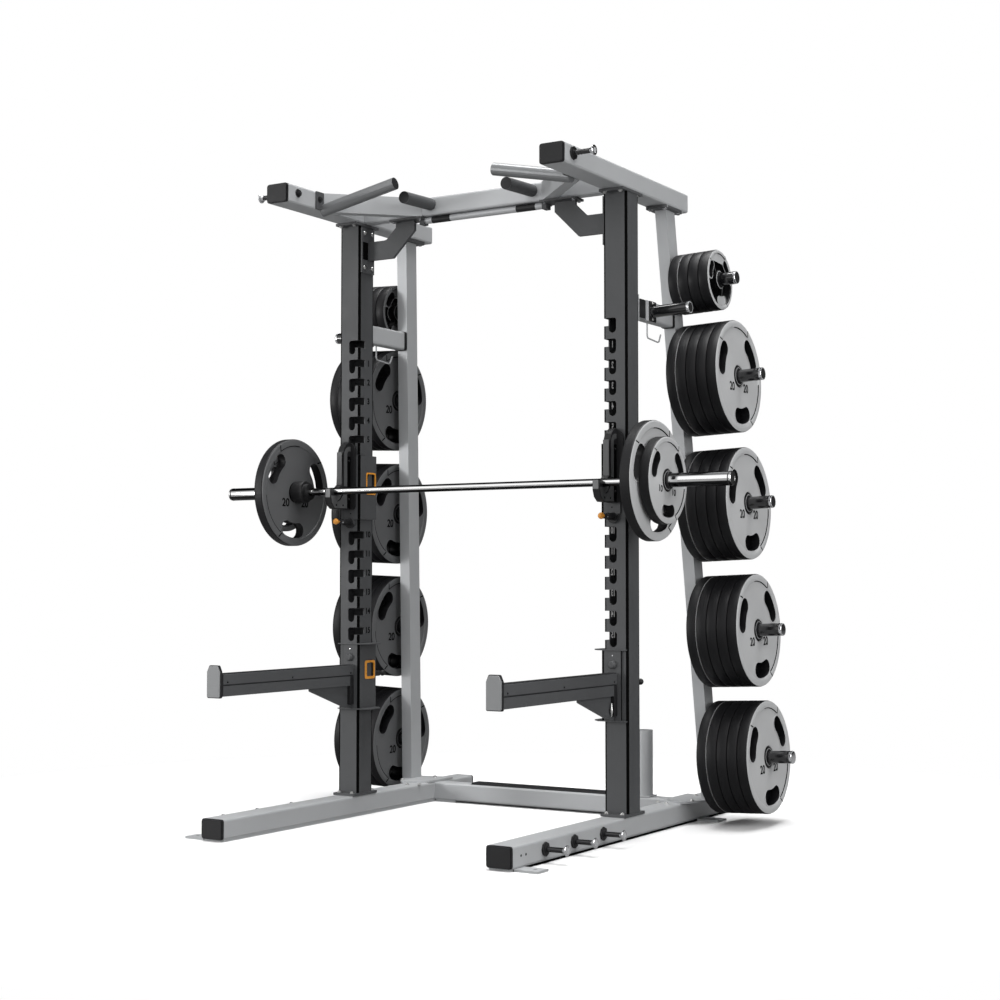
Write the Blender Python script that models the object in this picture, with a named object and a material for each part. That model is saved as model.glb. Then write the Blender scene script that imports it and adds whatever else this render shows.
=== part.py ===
"""Power cage: an open-fronted rack with a loaded barbell and plate storage.

X runs across the cage, Y to the rear and Z up, in metres.  Shapes are drawn in
the cage's own frame, whose Y = 0 is the front face of the uprights, and are
then moved back by FRONT_TO_ORIGIN, so that the origin lies on the floor at the
middle of the whole object.  Every left piece mirrors its right one.
"""
import math

import bmesh
import bpy
from mathutils import Matrix, Vector

# ---------------------------------------------------------------- dimensions
GAP = 0.0003                 # clearance between pieces that touch
TUBE = 0.0955                # side of the square uprights, width of feet and beams
BEAM_HEIGHT = 0.072          # height of the feet and the overhead beams
WALL = 0.004                 # tube wall
PLATE = 0.006                # carriage and flange plate
CORNER = 0.007               # outside corner radius of the tubes

FRONT_TO_ORIGIN = -0.0136    # the uprights' front faces lie this far before the origin
UPRIGHT_X = 0.598
UPRIGHT_Y = TUBE / 2
INNER_FACE = UPRIGHT_X - TUBE / 2
OUTER_FACE = UPRIGHT_X + TUBE / 2

FOOT_BASE = 0.008            # thickness of the strip and the bolt-down tabs
FOOT_TOP = FOOT_BASE + BEAM_HEIGHT
FOOT_FRONT = -0.8016
FOOT_REAR = 0.8386
CAP = 0.0129                 # how far an end cap stands out of its tube

BEAM_BOTTOM = 2.357
BEAM_TOP = BEAM_BOTTOM + BEAM_HEIGHT
TOP_BEAM_FRONT = -0.4572
TOP_BEAM_REAR = 0.5193
FLANGE = 0.010
FLANGE_LENGTH = 0.155

SLOT_PITCH = 0.0762
SLOT_COUNT = 19
TOP_SLOT_Z = 1.8846          # upper edge of the highest slot
SLOT_HEIGHT = 0.029
SLOT_REACH = 0.0515          # how far a slot runs in from the corner
SLOT_SIDE = 0.038            # how far it runs round the side face
LEG_WIDTH = 0.0305
LEG_DEPTH = 0.055
LEG_X = INNER_FACE + SLOT_REACH - LEG_WIDTH / 2
LEG_CENTRE_DROP = LEG_DEPTH - LEG_WIDTH / 2
STUD_RADIUS = 0.0147

PIN_RADIUS = 0.0055
REAR_SLOT_DROP = 0.0372      # from a J slot's upper edge to the rear slot's lower centre
LIFT = 0.024                 # how far a carriage lifts before it can come off

POST_WIDTH = 0.047
POST_DEPTH = 0.0745
POST_BOTTOM = Vector((0.698, 0.593, FOOT_TOP + GAP))
POST_TOP = Vector((0.602, 0.403, BEAM_BOTTOM - GAP))
PEG_RADIUS = 0.0235
PEG_HEIGHTS = (0.2505, 0.7295, 1.2085, 1.6875, 2.057)
LARGE_PEG = 0.352            # from the post's centre line to the peg's end
SMALL_PEG = 0.278
LARGE_STACK_START = 0.0490   # from the post's centre line to the stack's inner face
LARGE_STACK = 0.2555         # and to its outer face
SMALL_STACK_START = 0.0420
SMALL_STACK = 0.2097
LARGE_PLATE_RADIUS = 0.2130
SMALL_PLATE_RADIUS = 0.1150
STACK_BORE = 0.0255

HOOK_STUD_SLOTS = (6, 8)
HOOK_PIN_SLOT = 9
HOOK_TOP = 1.425
HOOK_BOTTOM = 1.170
CARRIAGE_X = 0.6203
CARRIAGE_REAR = 0.109
HOOK_INNER = 0.582           # the hook's moulded fin, which stands out of a wider back
HOOK_OUTER = 0.6095
HOOK_LOW = 1.2085
HOOK_HIGH = 1.4790
HOOK_FACE = -0.070
LIP_FRONT = -0.146
LIP_TOP = 1.2865
BACK_HALF = 0.0375           # half the width of the hook's round-topped back
BACK_THICKNESS = 0.008
CORE_INNER = 0.591           # the steel core inside the fin
CORE_OUTER = 0.601
CORE_INSET = 0.005
PULL_KNOB_RADIUS = 0.0120

SAFETY_STUD_SLOTS = (16, 18)
SAFETY_TOP = 0.679
SAFETY_BOTTOM = 0.419
ARM_CENTRE = LEG_X
ARM_INNER = ARM_CENTRE - 0.0185
ARM_OUTER = ARM_CENTRE + 0.0185
ARM_BOTTOM = 0.513
ARM_SPLIT = 0.552
ARM_TOP = 0.595
ARM_END = -0.810
STOP_LOW = 0.5085
STOP_HIGH = 0.6255
STOP_HALF = 0.0315
STOP_NECK = 0.0225

BAR_Y = -0.110
BAR_Z = 1.2775
BAR_RADIUS = 0.014
SPINDLE_RADIUS = 0.0130
SLEEVE_START = 0.7067
COLLAR_END = 0.776
SLEEVE_END = 1.109
SLEEVE_RADIUS = 0.025
COLLAR_RADIUS = 0.044
BAR_PLATES = {"large": (0.7793, 0.8205, 0.2135), "small": (0.8238, 0.8640, 0.1545)}

COLOURS = {                  # colour, roughness, metallic
    "charcoal": ((0.055, 0.057, 0.060), 0.50, 0.2),
    "silver": ((0.60, 0.61, 0.62), 0.38, 0.4),
    "black": ((0.018, 0.018, 0.019), 0.45, 0.0),
    "chrome": ((0.75, 0.75, 0.76), 0.12, 1.0),
    "rubber": ((0.025, 0.025, 0.026), 0.60, 0.0),
    "grey": ((0.30, 0.31, 0.32), 0.50, 0.0),
    "orange": ((0.80, 0.30, 0.03), 0.35, 0.0),
}


# ------------------------------------------------------------- basic shapes
def object_from(bm, name):
    """Make an object from a bmesh, with all its faces turned outward."""
    bmesh.ops.recalc_face_normals(bm, faces=bm.faces)
    mesh = bpy.data.meshes.new(name)
    bm.to_mesh(mesh)
    bm.free()
    obj = bpy.data.objects.new(name, mesh)
    bpy.context.scene.collection.objects.link(obj)
    return obj


def prism(outline, axis, start, end):
    """Extrude a closed outline along an axis.

    The outline's points are (y, z) along X, (x, z) along Y and (x, y) along Z.
    """
    places = {
        "X": lambda u, v, t: (t, u, v),
        "Y": lambda u, v, t: (u, t, v),
        "Z": lambda u, v, t: (u, v, t),
    }
    bm = bmesh.new()
    ring = [bm.verts.new(places[axis](u, v, start)) for u, v in outline]
    face = bm.faces.new(ring)
    grown = bmesh.ops.extrude_face_region(bm, geom=[face])
    moved = [item for item in grown["geom"] if isinstance(item, bmesh.types.BMVert)]
    shift = Vector(places[axis](0.0, 0.0, end - start))
    bmesh.ops.translate(bm, verts=moved, vec=shift)
    return object_from(bm, "prism")


def block(x0, x1, y0, y1, z0, z1):
    return prism([(x0, y0), (x1, y0), (x1, y1), (x0, y1)], "Z", z0, z1)


def arc(u, v, radius, start, end, steps):
    """Points on a circle round (u, v), between two angles in degrees."""
    angles = [math.radians(start + (end - start) * i / steps) for i in range(steps + 1)]
    return [(u + radius * math.cos(a), v + radius * math.sin(a)) for a in angles]


def rounded(u0, u1, v0, v1, radius, steps=2):
    """A rectangle with round corners, as an outline."""
    points = arc(u1 - radius, v1 - radius, radius, 0, 90, steps)
    points += arc(u0 + radius, v1 - radius, radius, 90, 180, steps)
    points += arc(u0 + radius, v0 + radius, radius, 180, 270, steps)
    points += arc(u1 - radius, v0 + radius, radius, 270, 360, steps)
    return points


def rod(start, end, radius, sides=16):
    """A solid round bar between two points."""
    start = Vector(start)
    run = Vector(end) - start
    bm = bmesh.new()
    bmesh.ops.create_cone(bm, cap_ends=True, segments=sides, radius1=radius, radius2=radius, depth=run.length)
    turn = run.to_track_quat("Z", "Y").to_matrix().to_4x4()
    bmesh.ops.transform(bm, matrix=Matrix.Translation(start + run / 2) @ turn, verts=bm.verts)
    return object_from(bm, "rod")


def turned(profile, sides):
    """Turn a closed profile of (along X, radius) points about the X axis."""
    bm = bmesh.new()
    rings = []
    for i in range(sides):
        a = 2 * math.pi * i / sides
        ring = [bm.verts.new((x, r * math.cos(a), r * math.sin(a))) for x, r in profile]
        rings.append(ring)
    count = len(profile)
    for i in range(sides):
        here = rings[i]
        after = rings[(i + 1) % sides]
        for j in range(count):
            k = (j + 1) % count
            bm.faces.new((here[j], here[k], after[k], after[j]))
    return object_from(bm, "turned")


def ball(centre, radius):
    bm = bmesh.new()
    bmesh.ops.create_uvsphere(bm, u_segments=12, v_segments=8, radius=radius)
    bmesh.ops.translate(bm, verts=bm.verts, vec=Vector(centre))
    return object_from(bm, "ball")


def wire(points, radius, sides=8):
    """A bent round wire as a curve with filled ends, turned into a mesh object."""
    curve = bpy.data.curves.new("wire", "CURVE")
    curve.dimensions = "3D"
    curve.bevel_depth = radius
    curve.bevel_resolution = (sides - 4) // 2
    curve.use_fill_caps = True
    spline = curve.splines.new("POLY")
    spline.points.add(len(points) - 1)
    for point, place in zip(spline.points, points):
        point.co = (*place, 1.0)
    holder = bpy.data.objects.new("wire", curve)
    bpy.context.scene.collection.objects.link(holder)
    bpy.context.view_layer.update()
    mesh = bpy.data.meshes.new_from_object(holder.evaluated_get(bpy.context.evaluated_depsgraph_get()))
    bm = bmesh.new()
    bm.from_mesh(mesh)
    bmesh.ops.remove_doubles(bm, verts=bm.verts, dist=0.00001)
    bpy.data.objects.remove(holder)
    return object_from(bm, "wire")


def combine(base, others, operation):
    """Join other shapes to a base, or cut them out of it, and drop them."""
    for other in others:
        tool = base.modifiers.new(operation, "BOOLEAN")
        tool.operation = operation
        tool.solver = "EXACT"
        tool.object = other
        bpy.context.view_layer.update()
        ready = base.evaluated_get(bpy.context.evaluated_depsgraph_get())
        mesh = bpy.data.meshes.new_from_object(ready)
        base.modifiers.clear()
        base.data = mesh
        bpy.data.objects.remove(other)
    return base


def join(base, *others):
    return combine(base, others, "UNION")


def cut(base, *others):
    return combine(base, others, "DIFFERENCE")


def material(colour):
    found = bpy.data.materials.get(colour)
    if found:
        return found
    base, roughness, metallic = COLOURS[colour]
    made = bpy.data.materials.new(colour)
    made.use_nodes = True
    shader = made.node_tree.nodes["Principled BSDF"]
    shader.inputs["Base Color"].default_value = (*base, 1.0)
    shader.inputs["Roughness"].default_value = roughness
    shader.inputs["Metallic"].default_value = metallic
    return made


def finish(obj, name, colour, origin=(0.0, 0.0, 0.0), side=1):
    """Name a piece, mirror it for the left side, colour it and set its origin."""
    bm = bmesh.new()
    bm.from_mesh(obj.data)
    bmesh.ops.remove_doubles(bm, verts=bm.verts, dist=0.000002)
    bmesh.ops.dissolve_limit(bm, angle_limit=math.radians(0.05), verts=bm.verts, edges=bm.edges)
    bmesh.ops.triangulate(bm, faces=bm.faces)
    loose = [edge for edge in bm.edges if not edge.link_faces]
    bmesh.ops.delete(bm, geom=loose, context="EDGES")
    place = Vector((side * origin[0], origin[1], origin[2]))
    for vert in bm.verts:
        vert.co.x *= side
        vert.co -= place
    if side < 0:
        bmesh.ops.reverse_faces(bm, faces=bm.faces)
    mesh = bpy.data.meshes.new(name)
    bm.to_mesh(mesh)
    bm.free()
    obj.data = mesh
    obj.name = name
    obj.location = place + Vector((0.0, FRONT_TO_ORIGIN, 0.0))
    mesh.materials.append(material(colour))
    mesh.shade_smooth()
    mesh.set_sharp_from_angle(angle=math.radians(35))
    return obj


def named(base, side):
    return base + ("_right" if side > 0 else "_left")


def tube_along_y(x0, x1, z0, z1, y0, y1):
    """A rectangular tube with round outside corners, open at both ends."""
    shell = prism(rounded(x0, x1, z0, z1, CORNER), "Y", y0, y1)
    bore = block(x0 + WALL, x1 - WALL, y0 - WALL, y1 + WALL, z0 + WALL, z1 - WALL)
    return cut(shell, bore)


# ------------------------------------------------------------------- frame
def band_peg(face_x, y, z):
    """A short flared peg for elastic bands, with its base plate."""
    base = rod((face_x - 0.002, y, z), (face_x + 0.006, y, z), 0.0235, 8)
    stem = rod((face_x, y, z), (face_x + 0.074, y, z), 0.0085, 10)
    flare_start = face_x + 0.072
    profile = [(0.0, 0.0085), (0.0, 0.001), (0.013, 0.001), (0.013, 0.0175), (0.008, 0.0175)]
    flare = turned(profile, 12)
    flare.data.transform(Matrix.Translation((flare_start, y, z)))
    plug = rod((flare_start - 0.001, y, z), (flare_start + 0.0125, y, z), 0.005, 8)
    return join(base, stem, flare, plug)


def foot(side):
    body = tube_along_y(INNER_FACE, OUTER_FACE, FOOT_BASE, FOOT_TOP, FOOT_FRONT, FOOT_REAR)
    strip = block(INNER_FACE + 0.003, OUTER_FACE - 0.003, FOOT_FRONT + 0.004, FOOT_REAR - 0.004, 0.0, FOOT_BASE + 0.002)
    tabs = []
    for near, far in ((-0.797, -0.729), (0.576, 0.652)):
        tab = block(OUTER_FACE - 0.02, OUTER_FACE + 0.089, near, far, 0.0, FOOT_BASE)
        hole = rod((OUTER_FACE + 0.060, (near + far) / 2, -0.01), (OUTER_FACE + 0.060, (near + far) / 2, 0.02), 0.0075, 12)
        tabs.append(cut(tab, hole))
    pegs = [band_peg(OUTER_FACE, y, 0.0465) for y in (-0.597, -0.401, -0.194)]
    join(body, strip, *tabs, *pegs)
    return finish(body, named("foot", side), "silver", side=side)


def end_cap(base, side, z0, z1, tube_end, outward):
    """A moulded cap with a round-cornered face and a plug inside the tube."""
    near = tube_end + outward * GAP
    rim = prism(rounded(INNER_FACE, OUTER_FACE, z0, z1, 0.009, 3), "Y", near, tube_end + outward * 0.009)
    face = prism(rounded(INNER_FACE + 0.0025, OUTER_FACE - 0.0025, z0 + 0.0025, z1 - 0.0025, 0.008, 3),
                 "Y", tube_end + outward * 0.008, tube_end + outward * CAP)
    inset = WALL + GAP
    plug = block(INNER_FACE + inset, OUTER_FACE - inset, min(near + outward * 0.002, tube_end - outward * 0.02),
                 max(near + outward * 0.002, tube_end - outward * 0.02), z0 + inset, z1 - inset)
    return finish(join(rim, face, plug), named(base, side), "black", side=side)


def j_slot_outline(top):
    """A J slot seen from the front: a channel from the corner, then a round-ended leg."""
    start = INNER_FACE - 0.01
    leg_left = INNER_FACE + SLOT_REACH - LEG_WIDTH
    centre = top - LEG_CENTRE_DROP
    points = [(start, top), (start, top - SLOT_HEIGHT), (leg_left, top - SLOT_HEIGHT)]
    points += arc(LEG_X, centre, LEG_WIDTH / 2, 180, 360, 6)
    points += [(INNER_FACE + SLOT_REACH, top - 0.006), (INNER_FACE + SLOT_REACH - 0.006, top)]
    return points


def rear_slot_outline(low_centre):
    """A short upright slot for a spring pin, tall enough for the carriage's lift."""
    width = PIN_RADIUS + 0.0012
    points = arc(LEG_X, low_centre + LIFT, width, 0, 180, 4)
    points += arc(LEG_X, low_centre, width, 180, 360, 4)
    return points


def slot_top(number):
    return TOP_SLOT_Z - number * SLOT_PITCH


def upright(side):
    low = FOOT_TOP + GAP
    high = BEAM_BOTTOM - GAP
    shell = prism(rounded(INNER_FACE, OUTER_FACE, 0.0, TUBE, CORNER), "Z", low, high)
    flanges = []
    for z0, z1 in ((low, low + FLANGE), (high - FLANGE, high)):
        y0 = UPRIGHT_Y - FLANGE_LENGTH / 2
        y1 = UPRIGHT_Y + FLANGE_LENGTH / 2
        flanges.append(block(INNER_FACE - 0.0025, OUTER_FACE + 0.0025, y0, y1, z0, z1))
    join(shell, *flanges)
    bore = block(INNER_FACE + WALL, OUTER_FACE - WALL, WALL, TUBE - WALL, low - 0.01, high + 0.01)
    front_cutters = [prism(j_slot_outline(slot_top(n)), "Y", -0.02, SLOT_SIDE) for n in range(SLOT_COUNT)]
    rear_cutters = [prism(rear_slot_outline(slot_top(n) - REAR_SLOT_DROP), "Y", TUBE - 0.02, TUBE + 0.02)
                    for n in range(SLOT_COUNT)]
    cut(shell, bore, *front_cutters, *rear_cutters)
    return finish(shell, named("upright", side), "charcoal", side=side)


def post_point(z):
    """The post's centre line at a height."""
    share = (z - POST_BOTTOM.z) / (POST_TOP.z - POST_BOTTOM.z)
    return POST_BOTTOM.lerp(POST_TOP, share)


def peg_direction():
    """Square to the leaning post, outward and slightly up."""
    run = POST_TOP - POST_BOTTOM
    return Vector((run.z, 0.0, -run.x)).normalized()


def post_section(z, width, depth):
    centre = post_point(z)
    corners = ((-1, -1), (1, -1), (1, 1), (-1, 1))
    return [Vector((centre.x + sx * width / 2, centre.y + sy * depth / 2, z)) for sx, sy in corners]


def leaning_block(width, depth, z0, z1):
    bm = bmesh.new()
    low = [bm.verts.new(p) for p in post_section(z0, width, depth)]
    high = [bm.verts.new(p) for p in post_section(z1, width, depth)]
    bm.faces.new(low)
    bm.faces.new(high)
    for i in range(4):
        k = (i + 1) % 4
        bm.faces.new((low[i], low[k], high[k], high[i]))
    return object_from(bm, "leaning_block")


def rear_post(side):
    low = POST_BOTTOM.z
    high = POST_TOP.z
    post = leaning_block(POST_WIDTH, POST_DEPTH, low + 0.001, high - 0.001)
    base = prism([(INNER_FACE + 0.002, 0.500), (0.640, 0.440), (0.655, 0.450), (0.690, 0.495), (0.712, 0.545),
                  (0.712, 0.650), (INNER_FACE + 0.002, 0.690)], "Z", low, low + 0.008)
    head = block(POST_TOP.x - 0.045, POST_TOP.x + 0.045, POST_TOP.y - 0.066, POST_TOP.y + 0.066, high - FLANGE, high)
    pegs = []
    for z, reach in zip(PEG_HEIGHTS, (LARGE_PEG,) * 4 + (SMALL_PEG,)):
        start = post_point(z) + peg_direction() * (POST_WIDTH / 2 - 0.001)
        pegs.append(rod(start, post_point(z) + peg_direction() * reach, PEG_RADIUS, 12))
    join(post, base, head, *pegs)
    cut(post, leaning_block(POST_WIDTH - 2 * WALL, POST_DEPTH - 2 * WALL, low - 0.01, high + 0.01))
    return finish(post, named("rear_post", side), "silver", side=side)


def top_beam(side):
    shell = prism(rounded(INNER_FACE, OUTER_FACE, BEAM_BOTTOM, BEAM_TOP, CORNER), "Y", TOP_BEAM_FRONT, TOP_BEAM_REAR)
    bore = block(INNER_FACE + WALL, OUTER_FACE - WALL, TOP_BEAM_FRONT - 0.01, TOP_BEAM_REAR - WALL,
                 BEAM_BOTTOM + WALL, BEAM_TOP - WALL)
    cut(shell, bore)
    join(shell, band_peg(OUTER_FACE, -0.399, BEAM_TOP - 0.030))
    return finish(shell, named("top_beam", side), "silver", side=side)


def rear_cross_member():
    half = INNER_FACE - GAP
    y0 = 0.547
    y1 = y0 + BEAM_HEIGHT
    outline = rounded(y0, y1, FOOT_BASE, FOOT_TOP, CORNER)
    shell = prism(outline, "X", -half, half)
    cut(shell, block(-half - 0.01, half + 0.01, y0 + WALL, y1 - WALL, FOOT_BASE + WALL, FOOT_TOP - WALL))
    pads = []
    for s in (-1, 1):
        pads.append(block(min(s * 0.45, s * (half - 0.005)), max(s * 0.45, s * (half - 0.005)), y0 + 0.003, y1 - 0.003,
                          0.0, FOOT_BASE + 0.002))
    join(shell, *pads)
    return finish(shell, "rear_cross_member", "silver")


def bar_holder():
    """The upright tube that stores a spare bar on end."""
    z0 = FOOT_TOP + GAP
    centre = (0.420, 0.583)
    tube = rod((*centre, z0), (*centre, 0.340), 0.030, 24)
    foot_plate = block(centre[0] - 0.034, centre[0] + 0.034, centre[1] - 0.034, centre[1] + 0.034, z0, z0 + 0.005)
    join(tube, foot_plate)
    cut(tube, rod((*centre, z0 + 0.005), (*centre, 0.36), 0.027, 24))
    return finish(tube, "bar_holder", "silver")


CROSS_FRONT = 0.030
CROSS_REAR = 0.078


def top_cross_beam():
    half = INNER_FACE - GAP
    shell = prism(rounded(CROSS_FRONT, CROSS_REAR, BEAM_BOTTOM, BEAM_TOP, CORNER), "X", -half, half)
    bore = block(-half - 0.01, half + 0.01, CROSS_FRONT + WALL, CROSS_REAR - WALL, BEAM_BOTTOM + WALL, BEAM_TOP - WALL)
    return finish(cut(shell, bore), "top_cross_beam", "silver")


LONG_GRIP_RADIUS = 0.0235
LONG_GRIP_ROOT = Vector((INNER_FACE - GAP, -0.2390, 2.3620))
LONG_GRIP_END = Vector((0.2201, -0.2275, 2.4311))
BRACE_ROOT = Vector((INNER_FACE - GAP, -0.2430))
BRACE_TIP = Vector((0.2717, CROSS_FRONT - GAP))
BRACE_THICKNESS = 0.045


def corner_brace(side):
    """The diagonal tube between a side beam and the cross beam."""
    run = (BRACE_TIP - BRACE_ROOT).normalized()
    back = Vector((-run.y, run.x)) * -BRACE_THICKNESS
    root_back = BRACE_ROOT + run * ((BRACE_ROOT.x - (BRACE_ROOT + back).x) / run.x) + back
    tip_back = BRACE_TIP + run * ((BRACE_TIP.y - (BRACE_TIP + back).y) / run.y) + back
    outline = [tuple(p) for p in (BRACE_ROOT, BRACE_TIP, tip_back, root_back)]
    body = prism(outline, "Z", BEAM_BOTTOM, BEAM_TOP)
    bore_run = run * 0.6
    side_inset = back.normalized() * WALL
    bore = [tuple(BRACE_ROOT - bore_run + side_inset), tuple(BRACE_TIP + bore_run + side_inset),
            tuple(tip_back + bore_run - side_inset), tuple(root_back - bore_run - side_inset)]
    cut(body, prism(bore, "Z", BEAM_BOTTOM + WALL, BEAM_TOP - WALL))
    reach = (LONG_GRIP_END - LONG_GRIP_ROOT) * 0.3
    cut(body, rod(LONG_GRIP_ROOT - reach, LONG_GRIP_ROOT + reach, LONG_GRIP_RADIUS + GAP, 20))
    return finish(body, named("corner_brace", side), "silver", side=side)


def angled_grip(side):
    """A long pull-up grip that rises from the side beam towards the middle."""
    run = (LONG_GRIP_END - LONG_GRIP_ROOT).normalized()
    grip = rod(LONG_GRIP_ROOT - run * 0.03, LONG_GRIP_END, LONG_GRIP_RADIUS, 20)
    keep = block(0.1, LONG_GRIP_ROOT.x, -0.4, 0.0, 2.2, 2.5)
    combine(grip, [keep], "INTERSECT")
    return finish(grip, named("angled_grip", side), "silver", side=side)


def neutral_grip(side):
    """A short pull-up grip that points forward from the cross beam."""
    grip = rod((0.2300, CROSS_FRONT - GAP, 2.3995), (0.2284, -0.158, 2.3922), 0.0235, 20)
    keep = block(0.1, 0.4, -0.3, CROSS_FRONT - GAP, 2.3, 2.5)
    combine(grip, [keep], "INTERSECT")
    return finish(grip, named("neutral_grip", side), "charcoal", side=side)


BRACKET_FRONT = 0.046
BRACKET_REAR = 0.060
BAR_END_X = 0.268


def corner_bracket(side):
    """The bent plate between an upright and the cross beam, with its two flanges."""
    top = BEAM_BOTTOM - GAP
    wall_x = INNER_FACE - GAP
    outline = [(0.3184, top - 0.004), (0.3190, 2.3104), (0.4217, 2.2091), (wall_x - 0.003, 2.2091),
               (wall_x - 0.003, 2.2840), (0.4620, 2.2840), (0.4520, 2.2870), (0.4076, 2.3300), (0.4076, top - 0.004)]
    arm = prism(outline, "Y", BRACKET_FRONT, BRACKET_REAR)
    upper = block(0.270, 0.418, CROSS_FRONT + 0.002, CROSS_REAR - 0.002, top - 0.008, top)
    side_plate = block(wall_x - PLATE, wall_x, 0.006, TUBE - 0.006, 2.158, 2.338)
    bar_seat = block(BAR_END_X + GAP, BAR_END_X + 0.020, 0.037, 0.071, 2.3265, top - 0.004)
    return finish(join(arm, upper, side_plate, bar_seat), named("corner_bracket", side), "charcoal", side=side)


def pull_up_bar():
    bar = rod((-BAR_END_X, 0.054, 2.3430), (BAR_END_X, 0.054, 2.3430), 0.0130, 20)
    return finish(bar, "pull_up_bar", "silver")


STUB_X0 = 0.5975
STUB_X1 = 0.6445
STUB_Z0 = 1.893
STUB_Z1 = 1.967
STUB_PEG = 0.159
STUB_PEG_Y = 0.198


def stub_beam(side):
    """The short link from an upright back to its post, with a peg and a wire hook."""
    front = TUBE + GAP
    rear = post_point(1.93).y - POST_DEPTH / 2 - 0.004
    shell = tube_along_y(STUB_X0, STUB_X1, STUB_Z0, STUB_Z1, front + PLATE - 0.001, rear - 0.005)
    front_plate = block(STUB_X0 - 0.02, STUB_X1, front, front + PLATE, STUB_Z0 - 0.012, STUB_Z1 + 0.012)
    end_plate = prism(rounded(STUB_X0 - 0.001, STUB_X1 + 0.001, STUB_Z0 - 0.001, STUB_Z1 + 0.001, CORNER),
                      "Y", rear - 0.006, rear)
    mount = block(STUB_X1 - 0.001, STUB_X1 + 0.004, 0.150, 0.229, STUB_Z0 - 0.003, STUB_Z1 - 0.002)
    lean = peg_direction()
    start = Vector((STUB_X1 + 0.003, STUB_PEG_Y, 1.9255))
    peg = rod(start, start + lean * STUB_PEG, 0.0215, 16)
    hook = wire([(0.6210, 0.213, STUB_Z0 + 0.001), (0.6210, 0.213, 1.842), (0.6210, 0.219, 1.834), (0.6210, 0.232, 1.8325),
                 (0.6210, 0.300, 1.8270), (0.6210, 0.311, 1.8300), (0.6210, 0.317, 1.8400), (0.6210, 0.327, 1.8590)], 0.003)
    join(shell, front_plate, end_plate, mount, peg, hook)
    cut(shell, block(STUB_X0 + WALL, STUB_X1 - WALL, front - 0.01, rear - 0.007, STUB_Z0 + WALL, STUB_Z1 - WALL))
    return finish(shell, named("stub_beam", side), "silver", side=side)


def bar_rest():
    """The ribbed strip on the rear cross member between the feet."""
    half = 0.372
    outline = [(0.552, FOOT_TOP + GAP), (0.614, FOOT_TOP + GAP), (0.609, FOOT_TOP + 0.007), (0.557, FOOT_TOP + 0.007)]
    return finish(prism(outline, "X", -half, half), "tread_strip", "black")


# ------------------------------------------------------------------ carriages
def channel(z0, z1, outer_x):
    """A plate bent round the front, inner side and rear of an upright."""
    wall = INNER_FACE - GAP
    front = block(wall - PLATE, outer_x, -PLATE - GAP, -GAP, z0, z1)
    inner = block(wall - PLATE, wall, -PLATE, CARRIAGE_REAR - 0.001, z0, z1)
    rear = block(wall - PLATE, outer_x, CARRIAGE_REAR - PLATE, CARRIAGE_REAR, z0, z1)
    return join(front, inner, rear)


def window(z0, z1):
    """A cutter for the opening through which the hole number shows."""
    return prism(rounded(0.046, 0.101, z0, z1, 0.008, 2), "X", INNER_FACE - 0.02, INNER_FACE - 0.0001)


def stud(slot):
    z = slot_top(slot) - LEG_CENTRE_DROP
    return rod((LEG_X, -PLATE, z), (LEG_X, 0.012, z), STUD_RADIUS, 16)


HOOK_PIN_X = LEG_X + 0.004
HOOK_PIN_Z = slot_top(HOOK_PIN_SLOT) - LEG_CENTRE_DROP


def hook_outline(inset):
    """The hook seen from the side: a tall round-topped fin, a seat and a lip.

    A positive inset shrinks it all round, for the steel core in the moulding.
    """
    seat = BAR_RADIUS + 0.0008 + inset
    lip = LIP_FRONT + inset
    top_radius = 0.0565 - inset
    points = [(-PLATE, HOOK_LOW + inset), (-0.1120, HOOK_LOW + inset), (-0.1360 + inset, HOOK_LOW + 0.0165)]
    points += [(lip, 1.2500), (lip, LIP_TOP - inset), (BAR_Y - seat, LIP_TOP - inset)]
    points += arc(BAR_Y, BAR_Z, seat, 180, 360, 6)
    points += [(BAR_Y + seat, 1.2860), (HOOK_FACE + inset, 1.3050)]
    points += arc(-PLATE, HOOK_HIGH - inset - top_radius, top_radius, 180, 90, 5)
    return points


def hook_carriage(side):
    body = channel(HOOK_BOTTOM, HOOK_TOP, CARRIAGE_X)
    core = prism(hook_outline(CORE_INSET), "X", CORE_INNER, CORE_OUTER)
    tab = rod((HOOK_PIN_X, -PLATE - GAP, HOOK_PIN_Z), (HOOK_PIN_X, -GAP, HOOK_PIN_Z), 0.024, 24)
    barrel = rod((HOOK_PIN_X, -0.046, HOOK_PIN_Z), (HOOK_PIN_X, -PLATE, HOOK_PIN_Z), 0.0100, 14)
    studs = [stud(slot) for slot in HOOK_STUD_SLOTS]
    join(body, core, tab, barrel, *studs)
    bore = rod((HOOK_PIN_X, -0.06, HOOK_PIN_Z), (HOOK_PIN_X, 0.02, HOOK_PIN_Z), PIN_RADIUS + 0.0004, 16)
    cut(body, bore, window(1.283, 1.361))
    return finish(body, named("hook_carriage", side), "charcoal", (HOOK_PIN_X, 0.0, HOOK_PIN_Z), side)


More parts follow.
